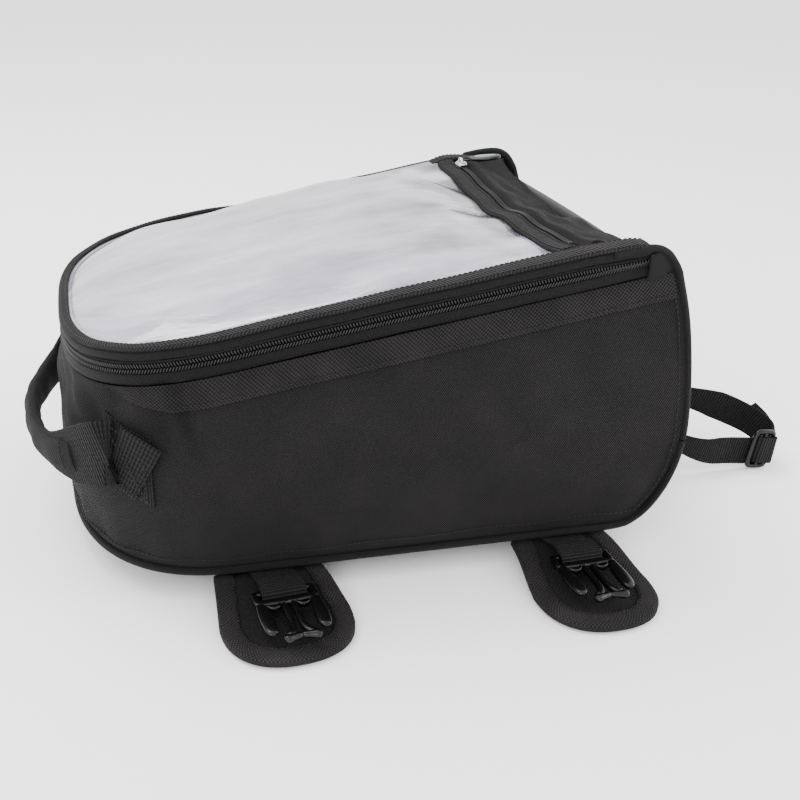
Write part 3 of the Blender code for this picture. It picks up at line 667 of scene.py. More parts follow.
def make_patch(side, tag):
    """Webbing patch that anchors the handle, sewn down with a crossed box."""
    def at(x, h, off):
        h += PATCH_CLIMB * (PATCH_X0 - x) / PATCH_RUN
        t = wall_t(x, h)
        return wall(side, t, h, off + wrinkle(side, t, h))
    hs = [0.355 + 0.37 * k / 12 for k in range(13)]
    xs = np.linspace(PATCH_X0, PATCH_X0 - PATCH_RUN, 13)
    grids = layers((2.0, 0.5), xs, lambda x, off: [at(x, h, off) for h in hs])
    ob = sheet_solid("handle_anchor_" + tag, *grids, "webbing", "bag", bevel=0.5)
    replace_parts(ob, "handle_patch_" + tag)
    x0, x1, h0, h1 = -115.5, -130.5, 0.385, 0.695
    lines = [[(x0, h0), (x0, h1)], [(x1, h0), (x1, h1)], [(x0, h0), (x1, h0)], [(x0, h1), (x1, h1)],
             [(x0, h0), (x1, h1)], [(x0, h1), (x1, h0)]]
    pairs = []
    for (xa, ha), (xb, hb) in lines:
        pts = resample([at(xa + (xb - xa) * k / 12, ha + (hb - ha) * k / 12, 4.5) for k in range(13)], 2.6)
        pairs += [(a, a.lerp(b, 0.62)) for a, b in zip(pts, pts[1:])]
    rods("handle_anchor_stitch_" + tag, pairs, 0.32, "thread", "bag", 5)


# --- zips ---
def coil_row(name, line, across, out, pitch, body, lean):
    """One row of a coil zip: a slanted tooth at every pitch."""
    pts = resample(line, pitch)
    pairs, last = [], len(pts) - 1
    at = lambda vectors, i: Vector(vectors[min(len(vectors) - 1, int(i / last * (len(vectors) - 1)))])
    for i in range(last):
        d = (pts[i + 1] - pts[i]).normalized()
        a, o = at(across, i), at(out, i)
        pairs.append((pts[i] - a * 1.3 - d * lean + o * 0.3, pts[i] + a * 1.3 + d * lean + o * 0.6))
    return rods(name, pairs, pitch * 0.32, "coil", body, 7)


def make_zips():
    out = [(-nx, -ny, 0) for x, y, nx, ny in RIM_PATH]
    up = [(0, 0, 1)] * len(RIM_PATH)
    upper = [(x, y, z + edge_sag(x, y)) for x, y, z in rim_line(1.2, -2.7, full_path(RIM, 151))]
    lower = rim_line(1.2, -5.6, ZIP_PATH)
    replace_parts(coil_row("zip_teeth_upper", upper, up, out, TOOTH_PITCH, "lid", 0.6), "zip_coil_upper")
    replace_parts(coil_row("zip_teeth_lower", lower, up, out, TOOTH_PITCH, "bag", -0.6), "zip_coil_lower")
    section = [(0.8, -0.1), (4.1, -0.1), (4.1, -4.1), (2.4, -4.1), (2.2, -1.6), (0.7, -1.3)]
    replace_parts(edge_ring("zip_cloth_upper", section, "smoothband", "lid"), "zip_tape_upper")
    section = [(2.4, -4.4), (2.2, -6.9), (0.6, -7.2), (0.1, -8.6), (-0.3, -10.4), (-0.3, -12.2), (0.6, -13.0),
               (3.6, -13.0), (4.1, -12.0), (4.1, -4.4)]
    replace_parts(edge_ring("zip_cloth_lower", section, "smoothband", "bag", 0.25, ZIP_PATH), "zip_tape_lower")


# --- lid ---
def crown(x, y):
    u = (x + 55) / 157.5 if x > -55 else (x + 55) / 92
    if y <= 0:
        return 9.5 * max(0.0, 1 - abs(u) ** 2.9 - abs(y / 101) ** 2.9) ** 0.7
    far = smooth((x + 60) / 50)                             # the film bulges out over the far border
    room = max(0.0, 1 - abs(u) ** 2.9 - abs(y / (101 + 8 * far)) ** 2.9)
    return (9.5 + 4.5 * smooth((x + 10) / 80) * smooth(y / 90)) * room ** (0.7 - 0.22 * far)


def ripple(x, y):
    r = 0.9 * sin(x / 21 + y / 33) * sin(y / 27 + 0.8) + 0.5 * sin(x / 9.5 - y / 14)
    return r * min(1.0, crown(x, y) / 2.2)


def sag(x, y):
    """How far the cloth at the rear of the lid hangs below a flat lid."""
    k = max(0.0, 1 - (y / 100) ** 2) ** 0.8
    across = clamp((y + 100) / 200)
    corner = -(2.0 + 4.5 * across) * smooth((x - 106) / 40)
    depth = 7.0 + 1.2 * sin(y / 15 + 0.6) + 0.8 * sin(y / 7.3 + 1)
    return corner - k * smooth((x - 55) / 55) * depth


def edge_sag(x, y):
    """Sag at the lid's edge on the side that y is on."""
    return sag(x, copysign(110, y))


def border_width(x, y):
    """Width of the cloth border: narrow at the nose and far side, wide along the near side."""
    if y < 0:
        return interp(x, (-154, -130, -100, 0, 90, 150), (5.6, 6.4, 8.2, 11.2, 13.6, 13.6))
    return interp(x, (-154, -60, 50, 96, 150), (5.6, 5.0, 5.0, 12.0, 13.4))


def make_lid():
    roll = [(0.9, 0.2), (3.2, 0.2), (4.3, 1.2), (4.5, 2.7), (4.2, 4.2), (3.2, 5.3), (1.2, 5.4), (0.0, 4.6),
            (-0.6, 2.9), (-0.2, 1.1)]
    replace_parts(edge_ring("lid_roll", roll, "smoothband", "lid", 0.35), "lid_piping")
    border = [(0.0, 5.4), (0.3, 5.45), (0.7, 5.5), (0.96, 5.6), (1.0, 6.1), (0.97, 6.9), (0.8, 7.4),
              (0.45, 7.5), (0.15, 7.2), (0.03, 6.6), (-0.02, 6.0)]
    rings, outer, inner = [], [], []
    for i, (x, y, nx, ny) in enumerate(RIM_PATH):
        w = border_width(x, y)
        low = 3.2 * smooth((x + 60) / 40) * smooth((112 - x) / 20) if y > 0 else 0.0
        dz = -low + 0.15 * (sin(i * 0.37) + sin(i * 0.151 + 1.3)) + edge_sag(x, y)
        dz -= 1.5 * smooth((x - 139) / 7)
        at = lambda s, h: (x + nx * s, y + ny * s, rim_z(x + nx * s) + h + dz)
        rings.append([at(s * w, h) for s, h in border])
        outer.append(at(1.5, 7.3))
        inner.append(at(w - 1.3, 7.3))
    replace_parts(loft("lid_border", rings, "bindcloth", "lid"), "lid_frame")
    stitches("lid_border_seam_outer", outer, "lid", 2.8, radius=0.3)
    stitches("lid_border_seam_inner", inner, "lid", 2.8, radius=0.3)
    # shiny rolled edge of the window sheet along the near side, its pale colour a painted highlight
    bead, near = [], [(x, y, nx, ny) for x, y, nx, ny in RIM_PATH if y < 0 and -108 < x < -4]
    for k, (x, y, nx, ny) in enumerate(near):
        s = border_width(x, y) - 0.4
        taper = sin(pi * clamp((k + 0.5) / len(near))) ** 0.5
        bead.append((Vector((x + nx * s, y + ny * s, rim_z(x) + 7.7)), 0.2 + 0.75 * taper))
    rings = [[p + (u * cos(q) + n * sin(q)) * r for q in turns(10)]
             for (p, u, n), (_, r) in zip(frames([p for p, _ in bead]), bead)]
    loft("window_edge_bead", rings, "painted_highlight", "lid")

    spread = np.sin(np.linspace(-pi / 2, pi / 2, 81))         # closer together towards both edges
    grids = across_bag(full_path(RIM, 106, stations(50, 60)), 106, 4.6, spread,
                       lambda x, y, k: rim_z(x) + (5.2, 4.4)[k] + crown(x, y) + ripple(x, y) + sag(x, y))
    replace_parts(sheet_solid("window_film", *grids, "film", "lid"), "map_window")
    grids = across_bag(full_path(RIM, LID_REAR, stations(20, 40)), LID_REAR, 4.8, np.linspace(-1, 1, 25),
                       lambda x, y, k: rim_z(x) + (2.0, 0.6)[k] + 1.4 * sag(x, -y))
    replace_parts(sheet_solid("pocket_floor", *grids, "nylon", "lid"), "lid_backing")
    make_lid_rear()


def cross_sheet(name, x0, x1, lo, hi, mat, y0, y1, nx=10, ny=90, shape=None):
    def row(k, dz):
        x = x0 + (x1 - x0) * k / nx
        return [(x, y, rim_z(x) + dz + sag(x, y) + (shape(k / nx, y) if shape else 0))
                for y in (y0 + (y1 - y0) * j / ny for j in range(ny + 1))]
    return sheet_solid(name, *layers((hi, lo), range(nx + 1), row), mat, "lid")


def make_lid_rear():
    inner = 98.6
    band = lambda k, y: 0.7 * sin(pi * k) + 0.35 * sin(y / 8) * sin(pi * k)
    ob = cross_sheet("window_band", BAND_X0, BAND_X1, 5.4, 6.9, "bindcloth", -inner, inner, 12, 120, band)
    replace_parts(ob, "window_binding")
    for tag, x in (("front", BAND_X0 + 1.6), ("rear", BAND_X1 - 1.6)):
        line = [(x, y, rim_z(x) + 7.15 + sag(x, y) + band((x - BAND_X0) / 10.3, y))
                for y in np.linspace(-inner + 1, inner - 1, 80)]
        stitches("window_band_seam_" + tag, line, "lid", 2.8)
    ob = cross_sheet("pocket_zip_cloth", 112.6, 121.2, 4.3, 5.3, "smoothband", -inner, inner)
    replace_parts(ob, "pocket_zip_tape")
    for tag, dx, lean in (("a", -0.9, 0.3), ("b", 0.9, -0.3)):
        x = POCKET_X + dx
        line = [(x, y, rim_z(x) + 6.4 + sag(x, y)) for y in np.linspace(-84, 97, 60)]
        row = coil_row("pocket_teeth_" + tag, line, [(0.5, 0, 0)] * 4, [(0, 0, 1)] * 4, POCKET_PITCH, "lid",
                       lean)
        if tag == "a":
            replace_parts(row, "pocket_zip_coil")

    def slope(k, off):
        """Cloth from the zip back to the rear panel: a folded lip over the zip, then a creased slope."""
        c = k / 36
        x = 119.0 + (151.8 - 119.0) * c
        z = rim_z(x) + 6.6 - 2.9 * smooth((c - 0.5) / 0.5) + off
        z += 2.2 * smooth(c / 0.08) * (1 - smooth((c - 0.08) / 0.3)) - 1.0 * (1 - smooth(c / 0.05))
        row = []
        for y in np.linspace(-inner, inner, 140):
            hang = sag(x, y) * (1 + 0.45 * smooth((c - 0.15) / 0.5)) if c < 0.9 else sag(x, y) * 1.45
            crease = 1.1 * sin(y / 14 + 6 * c) + 0.7 * sin(y / 6.5 - 9 * c) + 0.5 * sin(y / 4 + 14 * c)
            crease *= sin(pi * min(1.0, c * 1.05))
            crease *= max(0.0, 1 - (y / 99) ** 4)
            row.append((x + 2.0 * sin(y / 30) * sin(pi * c), y, z + hang + crease))
        return row
    grids = layers((0.0, -1.5), range(37), slope)
    yoke = sheet_solid("yoke_cloth", *grids, "nylon", None)
    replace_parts(yoke, "rear_yoke")
    rim_z(143) * MM
    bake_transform(yoke)


# --- flaps ---
ROOT_Y, HALF, END, FLARE = 110.0, 34.5, 36.0, 5.5        # root line, half width, rounded end, widening
FLAT_Z, FOLD_Z, FOLD_V0, FOLD_RUN = 2.9, 9.2, 8, 40
BAND_INSET = 11.3                                       # how far the backing stays inside the binding
FLAPS = dict(front=(-53.0, 74.0, radians(5)), rear=(120.0, 81.0, radians(2)))
BUCKLE_V, BUCKLE_Z = 27.0, 13.4


def finish_cad(name, mat):
    """A CAD node shown as it is, with its own look."""
    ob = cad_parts[name]
    ob.data.materials.clear()
    ob.data.materials.append(M[mat])


def flap_z(v):
    """Height of a flap's middle layer: down from the fold to the ground."""
    k = clamp((v - FOLD_V0) / FOLD_RUN)
    return FOLD_Z + (FLAT_Z - FOLD_Z) * (3 * k * k - 2 * k ** 3)


def make_flaps():
    for end, (x0, length, turn) in FLAPS.items():
        for side, tag in SIDES:
            make_flap(end + "_" + tag, x0, side, length, turn)


def relax(points, pinned, seed):
    """Let a sheet of cloth settle between its sewn edges; returns the moved points."""
    rows, cols = len(points), len(points[0])
    mesh = bpy.data.meshes.new("settle")
    flat = [p for r in points for p in r]
    mesh.from_pydata([(p[0] * MM, p[1] * MM, p[2] * MM) for p in flat], [],
                     [(i * cols + j, i * cols + j + 1, (i + 1) * cols + j + 1, (i + 1) * cols + j)
                      for i in range(rows - 1) for j in range(cols - 1)])
    for k, v in enumerate(mesh.vertices):
        v.co.z += 0.0002 * sin(k * 1.7 + seed)
    ob = link(bpy.data.objects.new("settle", mesh))
    pins = ob.vertex_groups.new(name="pins")
    pins.add([k for k, flag in enumerate(pinned) if flag], 1.0, 'REPLACE')
    mod = ob.modifiers.new("cloth", 'CLOTH')
    st = mod.settings
    st.quality, st.mass, st.air_damping = 6, 0.02, 3
    st.tension_stiffness = st.compression_stiffness = 8
    st.shear_stiffness, st.bending_stiffness = 3, 0.02
    st.shrink_min = -0.035
    st.use_pressure, st.uniform_pressure_force = True, 0.15
    st.vertex_group_mass = "pins"
    st.effector_weights.gravity = 0.2
    mod.collision_settings.use_collision = False
    mod.point_cache.frame_start, mod.point_cache.frame_end = 1, SETTLE_FRAMES
    scene = bpy.context.scene
    for f in range(1, SETTLE_FRAMES + 1):
        scene.frame_set(f)
    done = ob.evaluated_get(bpy.context.evaluated_depsgraph_get()).to_mesh()
    out = [(v.co.x / MM, v.co.y / MM, v.co.z / MM) for v in done.vertices]
    bpy.data.objects.remove(ob, do_unlink=True)
    scene.frame_set(1)
    return [out[i * cols:(i + 1) * cols] for i in range(rows)]


def make_flap(tag, x0, side, length, turn):
    body = "flap_" + tag
    seed = (1 if side < 0 else 2) + x0
    wide = 1.5 if tag.startswith("front") else 0.0
    c, s = cos(turn), sin(turn)
    point = lambda x, v, z: (x0 + x * c + v * s, side * (ROOT_Y + v * c - x * s), z)
    at = lambda x, v, dz: point(x - wide, v, flap_z(v) + dz)

    def half_width(v, inset=0.0):
        straight, half = length - END, HALF + wide - inset
        if v <= straight:
            return half - FLARE * (1 - v / straight)
        return half * (1 - min(1.0, (v - straight) / (END - inset)) ** 2.5) ** (1 / 2.3)

    def rows(inset):
        straight, reach = length - END, END - inset
        ends = [straight + reach * sin(pi / 2 * k / 24) * 0.9985 for k in range(25)]
        return [straight * k / 20 for k in range(20)] + ends

    def puff(x, v):
        k = max(0.0, 1 - (x / 24) ** 2) * smooth(v / 10) * smooth((length - 8 - v) / 16)
        return k * (0.9 + 0.5 * sin(x / 5 + v / 9 + seed) + 0.4 * sin(v / 4.5 - x / 8))

    top, pinned = [], []
    for v in rows(1.6):
        w = half_width(v, 1.6)
        row = [(w * k, v) for k in np.linspace(-1, 1, 31)]
        top.append([at(x, v, 1.5 + puff(x, v)) for x, v in row])
        pinned += [v < 12 or v > length - 12 or abs(x) > half_width(v, 11) for x, v in row]
    settled = relax(top, pinned, seed)
    top = [[(p[0], p[1], min(max(p[2], q[2]), q[2] + RISE_CAP)) for p, q in zip(r, t)]
           for r, t in zip(settled, top)]
    under = [[(p[0], p[1], p[2] - 0.8) for p in r] for r in top]
    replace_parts(sheet_solid("flap_top_" + tag, top, under, "nylon", body), "flap_cover_" + tag)
    grids = layers((-1.0, -2.8), rows(BAND_INSET),
                   lambda v, dz: [at(half_width(v, BAND_INSET) * k, v, dz) for k in np.linspace(-1, 1, 13)])
    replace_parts(sheet_solid("flap_under_" + tag, *grids, "fleece", body), "flap_backing_" + tag)

    vs = rows(0)
    pts = [(-half_width(v), v) for v in vs] + [(half_width(v), v) for v in reversed(vs)]
    rings, seam = [], []
    for i, (x, v) in enumerate(pts):
        a, b = pts[max(i - 1, 0)], pts[min(i + 1, len(pts) - 1)]
        n = hypot(b[0] - a[0], b[1] - a[1])
        ix, iv = (b[1] - a[1]) / n, -(b[0] - a[0]) / n
        if i in (0, len(pts) - 1):
            ix, iv = copysign(1, -x), 0.0
        w = 0.3 * sin(i * 0.9 + seed) + 0.2 * sin(i * 0.37)
        ring = [(0.0, 1.4), (0.6, 2.3), (2.2, 2.8 + w * 0.5), (6, 3.0), (10.2 + w, 2.8), (11 + w, 2.4),
                (10.6, 1.9), (1.4, 1.9), (1.4, -1.8), (10.6, -1.8), (11, -2.1), (10.2, -2.6), (2.4, -2.6),
                (0.7, -2.2), (0, -1.4)]
        rings.append([at(x + ix * q, v + iv * q, dz) for q, dz in ring])
        seam.append(at(x + ix * 9.4, v + iv * 9.4, 3.0))
    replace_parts(loft("flap_edge_" + tag, rings, "dotted", body), "flap_binding_" + tag)
    stitches("flap_seam_" + tag, seam, body, 2.8, radius=0.3)
    finish_cad("flap_magnet_" + tag, "nickel")

    bz, r = BUCKLE_Z, 1.8 + 0.9 + 0.6                         # bar, half the webbing, clearance
    bend = BUCKLE_V + 1.4
    line = [(1, 12.7), (9, 12.7), (14, 14.2), (19, bz + r), (bend - 2, bz + r)]
    line += [(bend + r * sin(a), bz + r * cos(a)) for a in (0.5, 1.1, pi / 2, 2.04, 2.64)]
    line += [(bend - 2, bz - r), (22.5, bz - r)]
    pts = smooth_line([(0, v, z) for v, z in line], 4)
    rings = []
    for i, p in enumerate(pts):
        d = along_line(pts, i)
        nv, nz = -d.z * 0.6, d.y * 0.6
        ring = []
        for x, q in ([(-12.5, 0), (-12.2, -1)] + [(-12 + 24 * j / 12, -1) for j in range(1, 12)]
                     + [(12.2, -1), (12.5, 0), (12.2, 1)] + [(12 - 24 * j / 12, 1) for j in range(1, 12)]
                     + [(-12.2, 1)]):
            lift = 0.9 * sin(pi * min(1.0, i / 16)) * max(0.0, -x / 12.5)
            ring.append(point(x, p.y + q * nv, p.z + q * nz + lift))
        rings.append(ring)
    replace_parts(loft("flap_loop_" + tag, rings, "webbing", body), "flap_webbing_" + tag)
    wider, longer = 1.03, 1.08
    make_buckle(tag, lambda a, b, h: Vector(point(a * wider, BUCKLE_V + b * longer, BUCKLE_Z + h)))


def moulding(path, radii, mat, at, steps=5, sides=16, square=0.7):
    """A moulded bar: path points with (half width, half height) radii, and rounded ends."""
    pts = [at(*p) for p in smooth_line(path, steps)]
    rings, last = [], len(pts) - 1
    for i, (p, u, n) in enumerate(frames(pts)):
        k = i / last * (len(radii) - 1)
        j = min(int(k), len(radii) - 2)
        f = k - j
        rw = radii[j][0] * (1 - f) + radii[j + 1][0] * f
        rh = radii[j][1] * (1 - f) + radii[j + 1][1] * f
        tip = (0.35, 0.8, 0.95)[min(i, last - i)] if min(i, last - i) < 3 else 1.0
        rings.append([p + n * (rw * tip * power(cos(q), square))
                      + u * (rh * tip * power(sin(q), square))
                      for q in turns(sides)])
    return loft("moulded", rings, mat, None)


def make_buckle(tag, at):
    """Male side-release buckle: webbing bar, sprung arms with flat paddles, split stem with a wide foot."""
    bars = []
    put = lambda path, radii, square=0.7: bars.append(moulding(path, radii, "gloss", at, square=square))
    put([(-17.0, 0, 0), (-8, 0, 0), (0, 0, 0), (8, 0, 0), (17.0, 0, 0)], [(1.9, 1.9)] * 5)
    half = [
        ([(15.3, -1.4, 0), (15.4, 2, 0), (15.4, 5, 0), (15.0, 9.6, 0)], [(1.9, 1.9)] * 4, 0.7),
        ([(16.4, 8.6, 0), (10, 8.5, 0), (4, 8.8, 0), (-0.6, 8.8, 0)],
         [(2.3, 2.0), (2.1, 1.9), (2.2, 1.9), (2.4, 2.0)], 0.7),
        ([(14.3, 8.4, 0), (14.4, 12, 0), (14.3, 16.5, 0), (14.1, 22, 0), (13.9, 27, 0), (13.4, 32.2, 0)],
         [(3.0, 2.0), (2.9, 1.9), (3.6, 2.0), (4.0, 2.1), (3.8, 1.9), (2.6, 1.6)], 0.7),
        ([(2.5, 9, 0.1), (2.5, 18, 0.1), (2.55, 27, 0.1), (4.0, 32, 0.1), (7.0, 35.4, 0)],
         [(1.7, 1.9), (1.65, 1.8), (1.7, 1.8), (2.1, 1.9), (2.5, 2.0)], 0.7),
        ([(9.6, 37.2, 0), (7, 36.2, 0), (3.4, 35.6, 0), (-0.4, 35.0, 0)],
         [(2.6, 2.2), (2.8, 2.3), (2.0, 1.8), (1.6, 1.6)], 1.0),
        ([(4.0, 9.5, 0.2), (6.0, 12.6, 0.2), (9.2, 12.8, 0.2), (11.8, 10.4, 0.2)], [(1.1, 1.7)] * 4, 0.7)]
    for s in (-1, 1):
        for path, radii, square in half:
            put([(s * a, b, h) for a, b, h in path], radii, square)
    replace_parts(join("buckle_form_" + tag, bars, body="buckle_" + tag), "buckle_" + tag)


def join(name, objs, body):
    bm = bmesh.new()
    for o in objs:
        bm.from_mesh(o.data)
    mesh = bpy.data.meshes.new(name)
    bm.to_mesh(mesh)
    bm.free()
    mat = objs[0].data.materials[0]
    for o in objs:
        bpy.data.objects.remove(o, do_unlink=True)
    mesh.materials.append(mat)
    ob = link(bpy.data.objects.new(name, mesh))
    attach(ob, body)
    return ob


# --- handle and strap ---
def ribbon(name, pts, widths, thick, mat, body, up=(0, 0, 1)):
    """Flat webbing along a line, with rounded edges."""
    section = [(-1, 0), (-0.97, -1)] + [(-0.9 + 1.8 * j / 10, -1) for j in range(11)] + [(0.97, -1), (1, 0)]
    section += [(0.97, 1)] + [(0.9 - 1.8 * j / 10, 1) for j in range(11)] + [(-0.97, 1)]
    rings = [[p + u * (w / 2 * a) + n * (thick / 2 * b) for a, b in section]
             for (p, u, n), w in zip(frames(pts, up), widths)]
    return loft(name, rings, mat, body)


def make_handle():
    path = [(-135.5, -102.2, 88.5), (-143, -95.5, 84.5), (-154, -81, 77.5), (-164.5, -63, 73),
            (-171.5, -42, 71), (-175.5, -20, 70), (-176.2, 0, 69), (-175.5, 20, 67), (-171.5, 42, 65),
            (-164.5, 63, 66), (-154, 81, 70.5), (-143, 95.5, 78), (-135.5, 102.2, 85)]
    line = smooth_line(path, 8)
    n = len(line)
    widths = [interp(min(i, n - 1 - i) / 8, (0, 1, 2, 3, 4), (HANDLE_WIDE, HANDLE_WIDE, 31, 21, 15))
              for i in range(n)]
    # both ends are sewn over the anchor patches
    for side in (-1, 1):
        ends = [wall(side, wall_t(x, HANDLE_H), HANDLE_H + PATCH_CLIMB * (PATCH_X0 - x) / PATCH_RUN,
                     3.2 + 0.03 * k)
                for k, x in enumerate(np.linspace(-114.2, -131, 12))]
        line = ends + line if side < 0 else line + ends[::-1]
        widths = [HANDLE_WIDE] * 12 + widths if side < 0 else widths + [HANDLE_WIDE] * 12
    strap = ribbon("handle_strap", line, widths, 2.2, "webbing", None)
    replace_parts(strap, "handle_webbing")
    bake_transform(strap)
    grip = line[27:-27]
    rings, last = [], len(grip) - 1
    for i, (p, u, m) in enumerate(frames(grip)):
        end = smooth(min(i, last - i) / 3)
        tall = interp(i / last, (0, 0.1, 0.3, 0.5, 0.8, 1), (10.2, 9.2, 8.2, 8.6, 10.5, 12))
        fold = 0.45 * sin(i * 0.7) + 0.3 * sin(i * 0.31)
        rings.append([p + u * ((tall - 0.9 + 0.9 * end) * power(cos(a), 0.85))
                      + m * ((2.4 + 1.9 * end + fold * sin(a)) * power(sin(a), 0.85))
                      for a in turns(28)])
    ob = loft("grip_sleeve", rings, "nylon", "handle")
    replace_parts(ob, "handle_grip")
    for k, tag in ((3, "near"), (-4, "far")):
        ring = [Vector(q) for q in rings[k]]
        mid = sum(ring, Vector()) / len(ring)
        hem = [mid + (q - mid) * 1.03 for q in ring + ring[:1]]
        stitches("grip_hem_" + tag, hem, "handle", 2.4, radius=0.3)


GLIDE_RUN = ((276, -40.7, 14), (298, -41.1, 12))       # straight piece of strap that the adjuster slides on


def make_strap():
    pts = [(194, -21, 48), (206, -26, 42), (222, -32, 32), (240, -37, 22), (258, -40.4, 15.6), *GLIDE_RUN,
           (309, -39, 12.2), (312, -29, 16.5), (306, -21, 22), (294, -15, 28), (277, -11, 35), (256, -7, 41),
           (228, 0, 48), (194, 10, 53)]
    line = smooth_line(pts, 8)
    n = len(line)
    widths = [min(interp(i, (0, 17, 36), (7, 8, 20)), interp(n - 1 - i, (0, 9, 25), (7, 9, 20)))
              for i in range(n)]
    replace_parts(ribbon("strap_loop", line, widths, 1.6, "webbing", "rear_strap"), "rear_strap")
    tail = smooth_line([(309, -33, 16), (312, -27, 20), (312, -22, 25), (308, -18, 30), (305, -16, 33.5)], 6)
    ribbon("strap_tail", tail, [9 - 3 * (k / (len(tail) - 1)) ** 2 for k in range(len(tail))], 1.8, "webbing",
           "rear_strap", (1, -0.5, 0))
    make_tri_glide()
    grids = layers((4.9, 3.9), np.linspace(36, 64, 12),
                   lambda z, off: [(profile_x(z) + off, y, z) for y in np.linspace(-32, 24, 20)])
    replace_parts(sheet_solid("strap_patch", *grids, "webbing", "bag"), "strap_anchor")


def make_tri_glide():
    """Glossy strap adjuster: a rounded frame with a bar across its middle."""
    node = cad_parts["tri_glide"]
    pts = np.array([tuple(node.matrix_world @ v.co) for v in node.data.vertices]) / MM
    mid = Vector((pts.min(0) + pts.max(0)) / 2)
    run = (Vector(GLIDE_RUN[1]) - Vector(GLIDE_RUN[0])).normalized()
    u = Vector((0, 0, 1)) - run * run.z
    u.normalize()
    n = run.cross(u)
    at = lambda a, b, h: mid + run * a + u * b + n * h
    half_u = 12.9
    loop = [at(7.0 * power(cos(q), 0.35), half_u * power(sin(q), 0.35), 0) for q in turns(40)]
    parts = [hoop(loop, n, 1.7, 1.5, "gloss", 12)]
    parts.append(moulding([(0, -half_u, 0), (0, 0, 0.3), (0, half_u, 0)],
                          [(2.0, 1.4), (1.8, 1.5), (2.0, 1.4)], "gloss", at))
    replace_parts(join("tri_glide_form", parts, "adjuster"), "tri_glide")
    lift = 2.6 if n.y < 0 else -2.6                           # the strap doubles back over the middle bar
    wrap = [at(a, 0, h * lift) for a, h in ((-4.6, -0.4), (-3.4, 0.5), (-1.5, 0.9), (1.5, 1), (4.5, 1),
                                            (7.6, 0.95), (9.3, 0.5))]
    ribbon("strap_wrap", smooth_line(wrap, 4), [19.5] * 25, 1.4, "webbing", "adjuster")


def make_sliders():
    """Zip sliders and pulls, and the plain inner layers of the bag."""
    up = Vector((-sin(LID_SLOPE), 0, cos(LID_SLOPE)))
    x, y = POCKET_X, 89.0
    z0 = rim_z(x) + sag(x, y)
    along = Vector((0.86, -0.51, 0)).normalized()
    along.z = tan(LID_SLOPE) * along.x
    along.normalize()
    make_slider("pocket", "pocket_slider", Vector((x, y, z0 + 6.2)), Vector((0, 1, 0)), up, 3.4)
    make_pull("pocket", "pocket_pull", Vector((x, y, z0 + 11.0)), along, up, 10)

    rx, ry = outline(dict(RIM, rear=LID_REAR), 0.1)
    y = -ry
    mid = rim_z(rx) - 4.25
    run = Vector((cos(LID_SLOPE), 0, sin(LID_SLOPE)))
    make_slider("main", "main_slider", Vector((rx, y - 0.2, mid)), run, Vector((0, 1, 0)), 5.2)
    make_pull("main", "main_pull", Vector((rx, y + 5.6, mid)), -run, Vector((0, 1, 0)), 9)

    ts, hs = stations(30, 40)[1:], [0.06 + 0.87 * k / 12 for k in range(13)]
    both = [(-1, t) for t in ts] + [(1, t) for t in ts[::-1]]
    grids = layers((-3.1, -6.6), both, lambda at, off: [
        wall(at[0], at[1], h, off - 0.5 * sin(h * 19) * sin(at[1] * 60)) for h in hs])
    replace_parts(sheet_solid("lining_side", *grids, "lining", "bag"), "side_foam")
    pts = smooth_line([(x, 0, z) for x, z in REAR_PROFILE[2:-2]], 3)

    def lining_row(i, off):
        p, d = pts[i], along_line(pts, i)
        w = min(103.0, abs(wall(-1, 0.0, rear_h(p.z)).y) - 9)
        return [(p.x + d.z * (off - 0.5 * sin(i * 0.9) * sin(9 * c)) + 2.5 * cos(c * 1.5), w * c,
                 p.z - d.x * off) for c in np.linspace(-1, 1, 25)]
    grids = layers((-3.1, -6.2), range(len(pts)), lining_row)
    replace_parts(sheet_solid("lining_rear", *grids, "lining", "bag"), "rear_foam")
    path = full_path(BASE, BOARD_REAR, stations(20, 40))
    rings = []
    for inset, z in ((15.2, 16.6), (14.2, 17.0), (14.0, 17.8), (14.3, 18.6), (15.4, 18.9)):
        rear = BOARD_REAR - abs(inset - 14)
        rings.append([(min(x + nx * inset, rear), y + ny * inset, z) for x, y, nx, ny in path])
    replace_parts(loft("base_board", rings, "matte", "bag"), "base_stiffener")


def make_slider(tag, node, centre, run, up, half):
    """Nickel zip slider: two wings joined by a neck, with a bridge for the pull."""
    side = run.cross(up).normalized()
    at = lambda a, b, h: centre + run * a + side * b + up * h
    bars = []
    top = 2.0 if tag == "pocket" else 2.6
    bars.append(moulding([(-5.6, 0, top), (-2, 0, top + 0.3), (2, 0, top + 0.3), (5.4, 0, top)],
                         [(half * 0.5, 0.6), (half * 0.8, 0.75), (half * 0.85, 0.75), (half * 0.6, 0.6)],
                         "nickel", at))
    for s in (-1, 1):
        bars.append(moulding([(-5.0, s * half * 0.62, top - 0.4), (0, s * (half - 0.4), top - 0.8),
                              (5.0, s * half * 0.8, top - 0.4)], [(0.5, 1.1)] * 3, "nickel", at))
    bars.append(moulding([(-3.6, 0, top + 0.4), (-2.6, 0, top + 2.6), (0, 0, top + 3.3), (2.6, 0, top + 2.6),
                          (3.6, 0, top + 0.4)], [(0.9, 0.55)] * 5, "nickel", at))
    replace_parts(join(tag + "_slider_form", bars, body=node), node)


FACE_X = 15.5                                           # middle of a zip pull's oval, from its wire eye


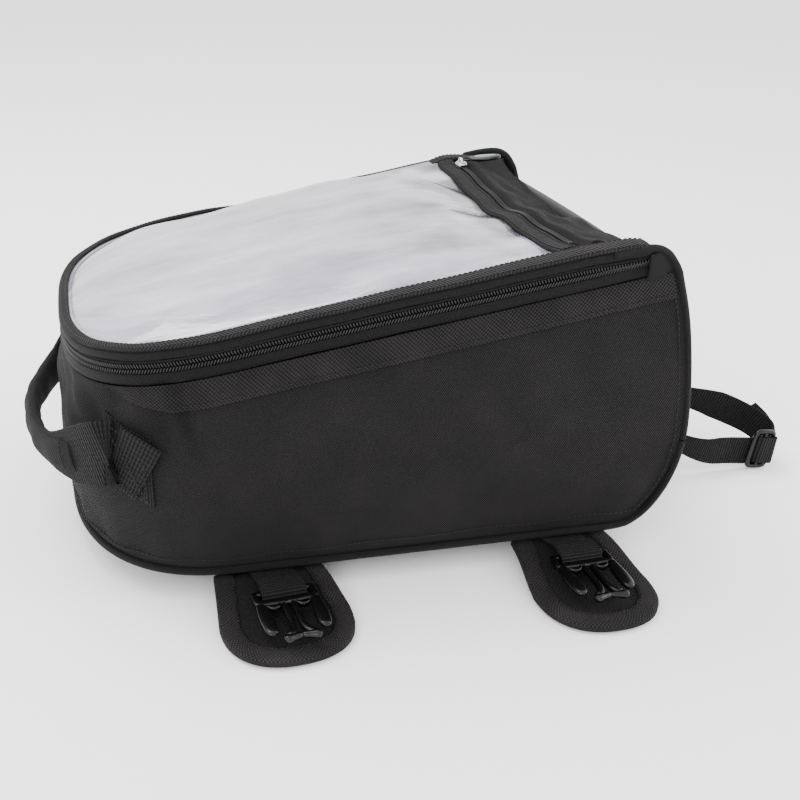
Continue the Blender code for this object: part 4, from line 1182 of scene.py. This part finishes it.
def make_pull(tag, node, base, along, up, width):
    """Moulded oval pull with a raised rim and a lighter face, partly the pull's slate colour and partly a
    painted highlight, on a small wire eye.
    """
    side = along.cross(up).normalized()
    at = lambda a, b, h: base + along * a + side * b + up * h

    def oval(cx, rx, ry, h, count=28):
        return [at(cx + rx * power(cos(q), 0.85), ry * power(sin(q), 0.95), h) for q in turns(count)]
    w = width / 2
    rings = [oval(FACE_X, rx, w - inset, h) for rx, inset, h in (
        (9.6, 0.8, -1.1), (10.4, 0, -0.5), (10.5, 0, 0.4), (9.9, 0.5, 1.0), (9.0, 1.3, 1.15),
        (8.2, 2.0, 0.75))]
    bars = [loft("moulded", rings, "gloss", None)]
    bars.append(hoop(oval(3.6, 3.4, 2.6, 0.0, 24), up, 0.75, 0.75, "gloss", 8))
    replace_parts(join(tag + "_pull_form", bars, body=node), node)
    # lighter face on top of the pull: slate colour with a painted highlight
    rings = [oval(FACE_X, rx, w - inset, h)
             for rx, inset, h in ((7.6, 2.4, 0.8), (7.8, 2.2, 1.1), (7.2, 2.7, 1.4))]
    loft(tag + "_pull_face", rings, "slate_and_painted_highlight", node)


# --- stage ---
def make_stage():
    n = Net("floor")
    n.surface(Base_Color=(0.95, 0.95, 0.95, 1), Roughness=0.95)
    mesh = bpy.data.meshes.new("floor")
    s, z = 6.0, -0.0005                                     # metres
    mesh.from_pydata([(-s, -s, z), (s, -s, z), (s, s, z), (-s, s, z)], [], [(0, 1, 2, 3)])
    floor = link(bpy.data.objects.new("floor", mesh))
    mesh.materials.append(n.mat)
    world = bpy.data.worlds.new("studio")
    bpy.context.scene.world = world
    world.use_nodes = True
    sky = world.node_tree.nodes["Background"]
    sky.inputs["Color"].default_value, sky.inputs["Strength"].default_value = (1, 1, 1, 1), 2.2

    def area(name, loc, aim, size, power):
        light = bpy.data.lights.new(name, 'AREA')
        light.shape, light.size, light.size_y, light.energy = 'RECTANGLE', size[0], size[1], power
        ob = link(bpy.data.objects.new(name, light))
        ob.location = loc
        ob.rotation_euler = (Vector(aim) - Vector(loc)).to_track_quat('-Z', 'Y').to_euler()
    area("key", (-0.5, 0.5, 1.4), (0, 0, 0.1), (1.0, 0.8), 26)
    area("front", (-0.9, -1.3, 0.9), (0, 0, 0.08), (0.9, 0.7), 15)
    area("side", (1.4, -0.4, 0.8), (0, 0, 0.08), (0.7, 0.7), 9)


def make_camera():
    distance = 0.6795                                       # metres from the bag's origin
    a, e, roll = radians(13.11), radians(30.16), radians(0.97)
    look = Vector((sin(a) * cos(e), cos(a) * cos(e), -sin(e)))
    right = Vector((cos(a), -sin(a), 0))
    up = right.cross(look)
    c, s = cos(roll), sin(roll)
    r, u = right * c + up * s, up * c - right * s
    cam = bpy.data.cameras.new("camera")
    ob = link(bpy.data.objects.new("camera", cam))
    ob.matrix_world = Matrix([(r[k], u[k], -look[k], -look[k] * distance) for k in range(3)] + [(0, 0, 0, 1)])
    cam.sensor_width, cam.lens = 36, 45.86
    cam.shift_x, cam.shift_y = 0.102, 0.0977
    cam.clip_start = 0.01
    bpy.context.scene.camera = ob


make_body()
make_zips()
make_lid()
make_flaps()
make_handle()
make_strap()
make_sliders()
make_stage()
make_camera()
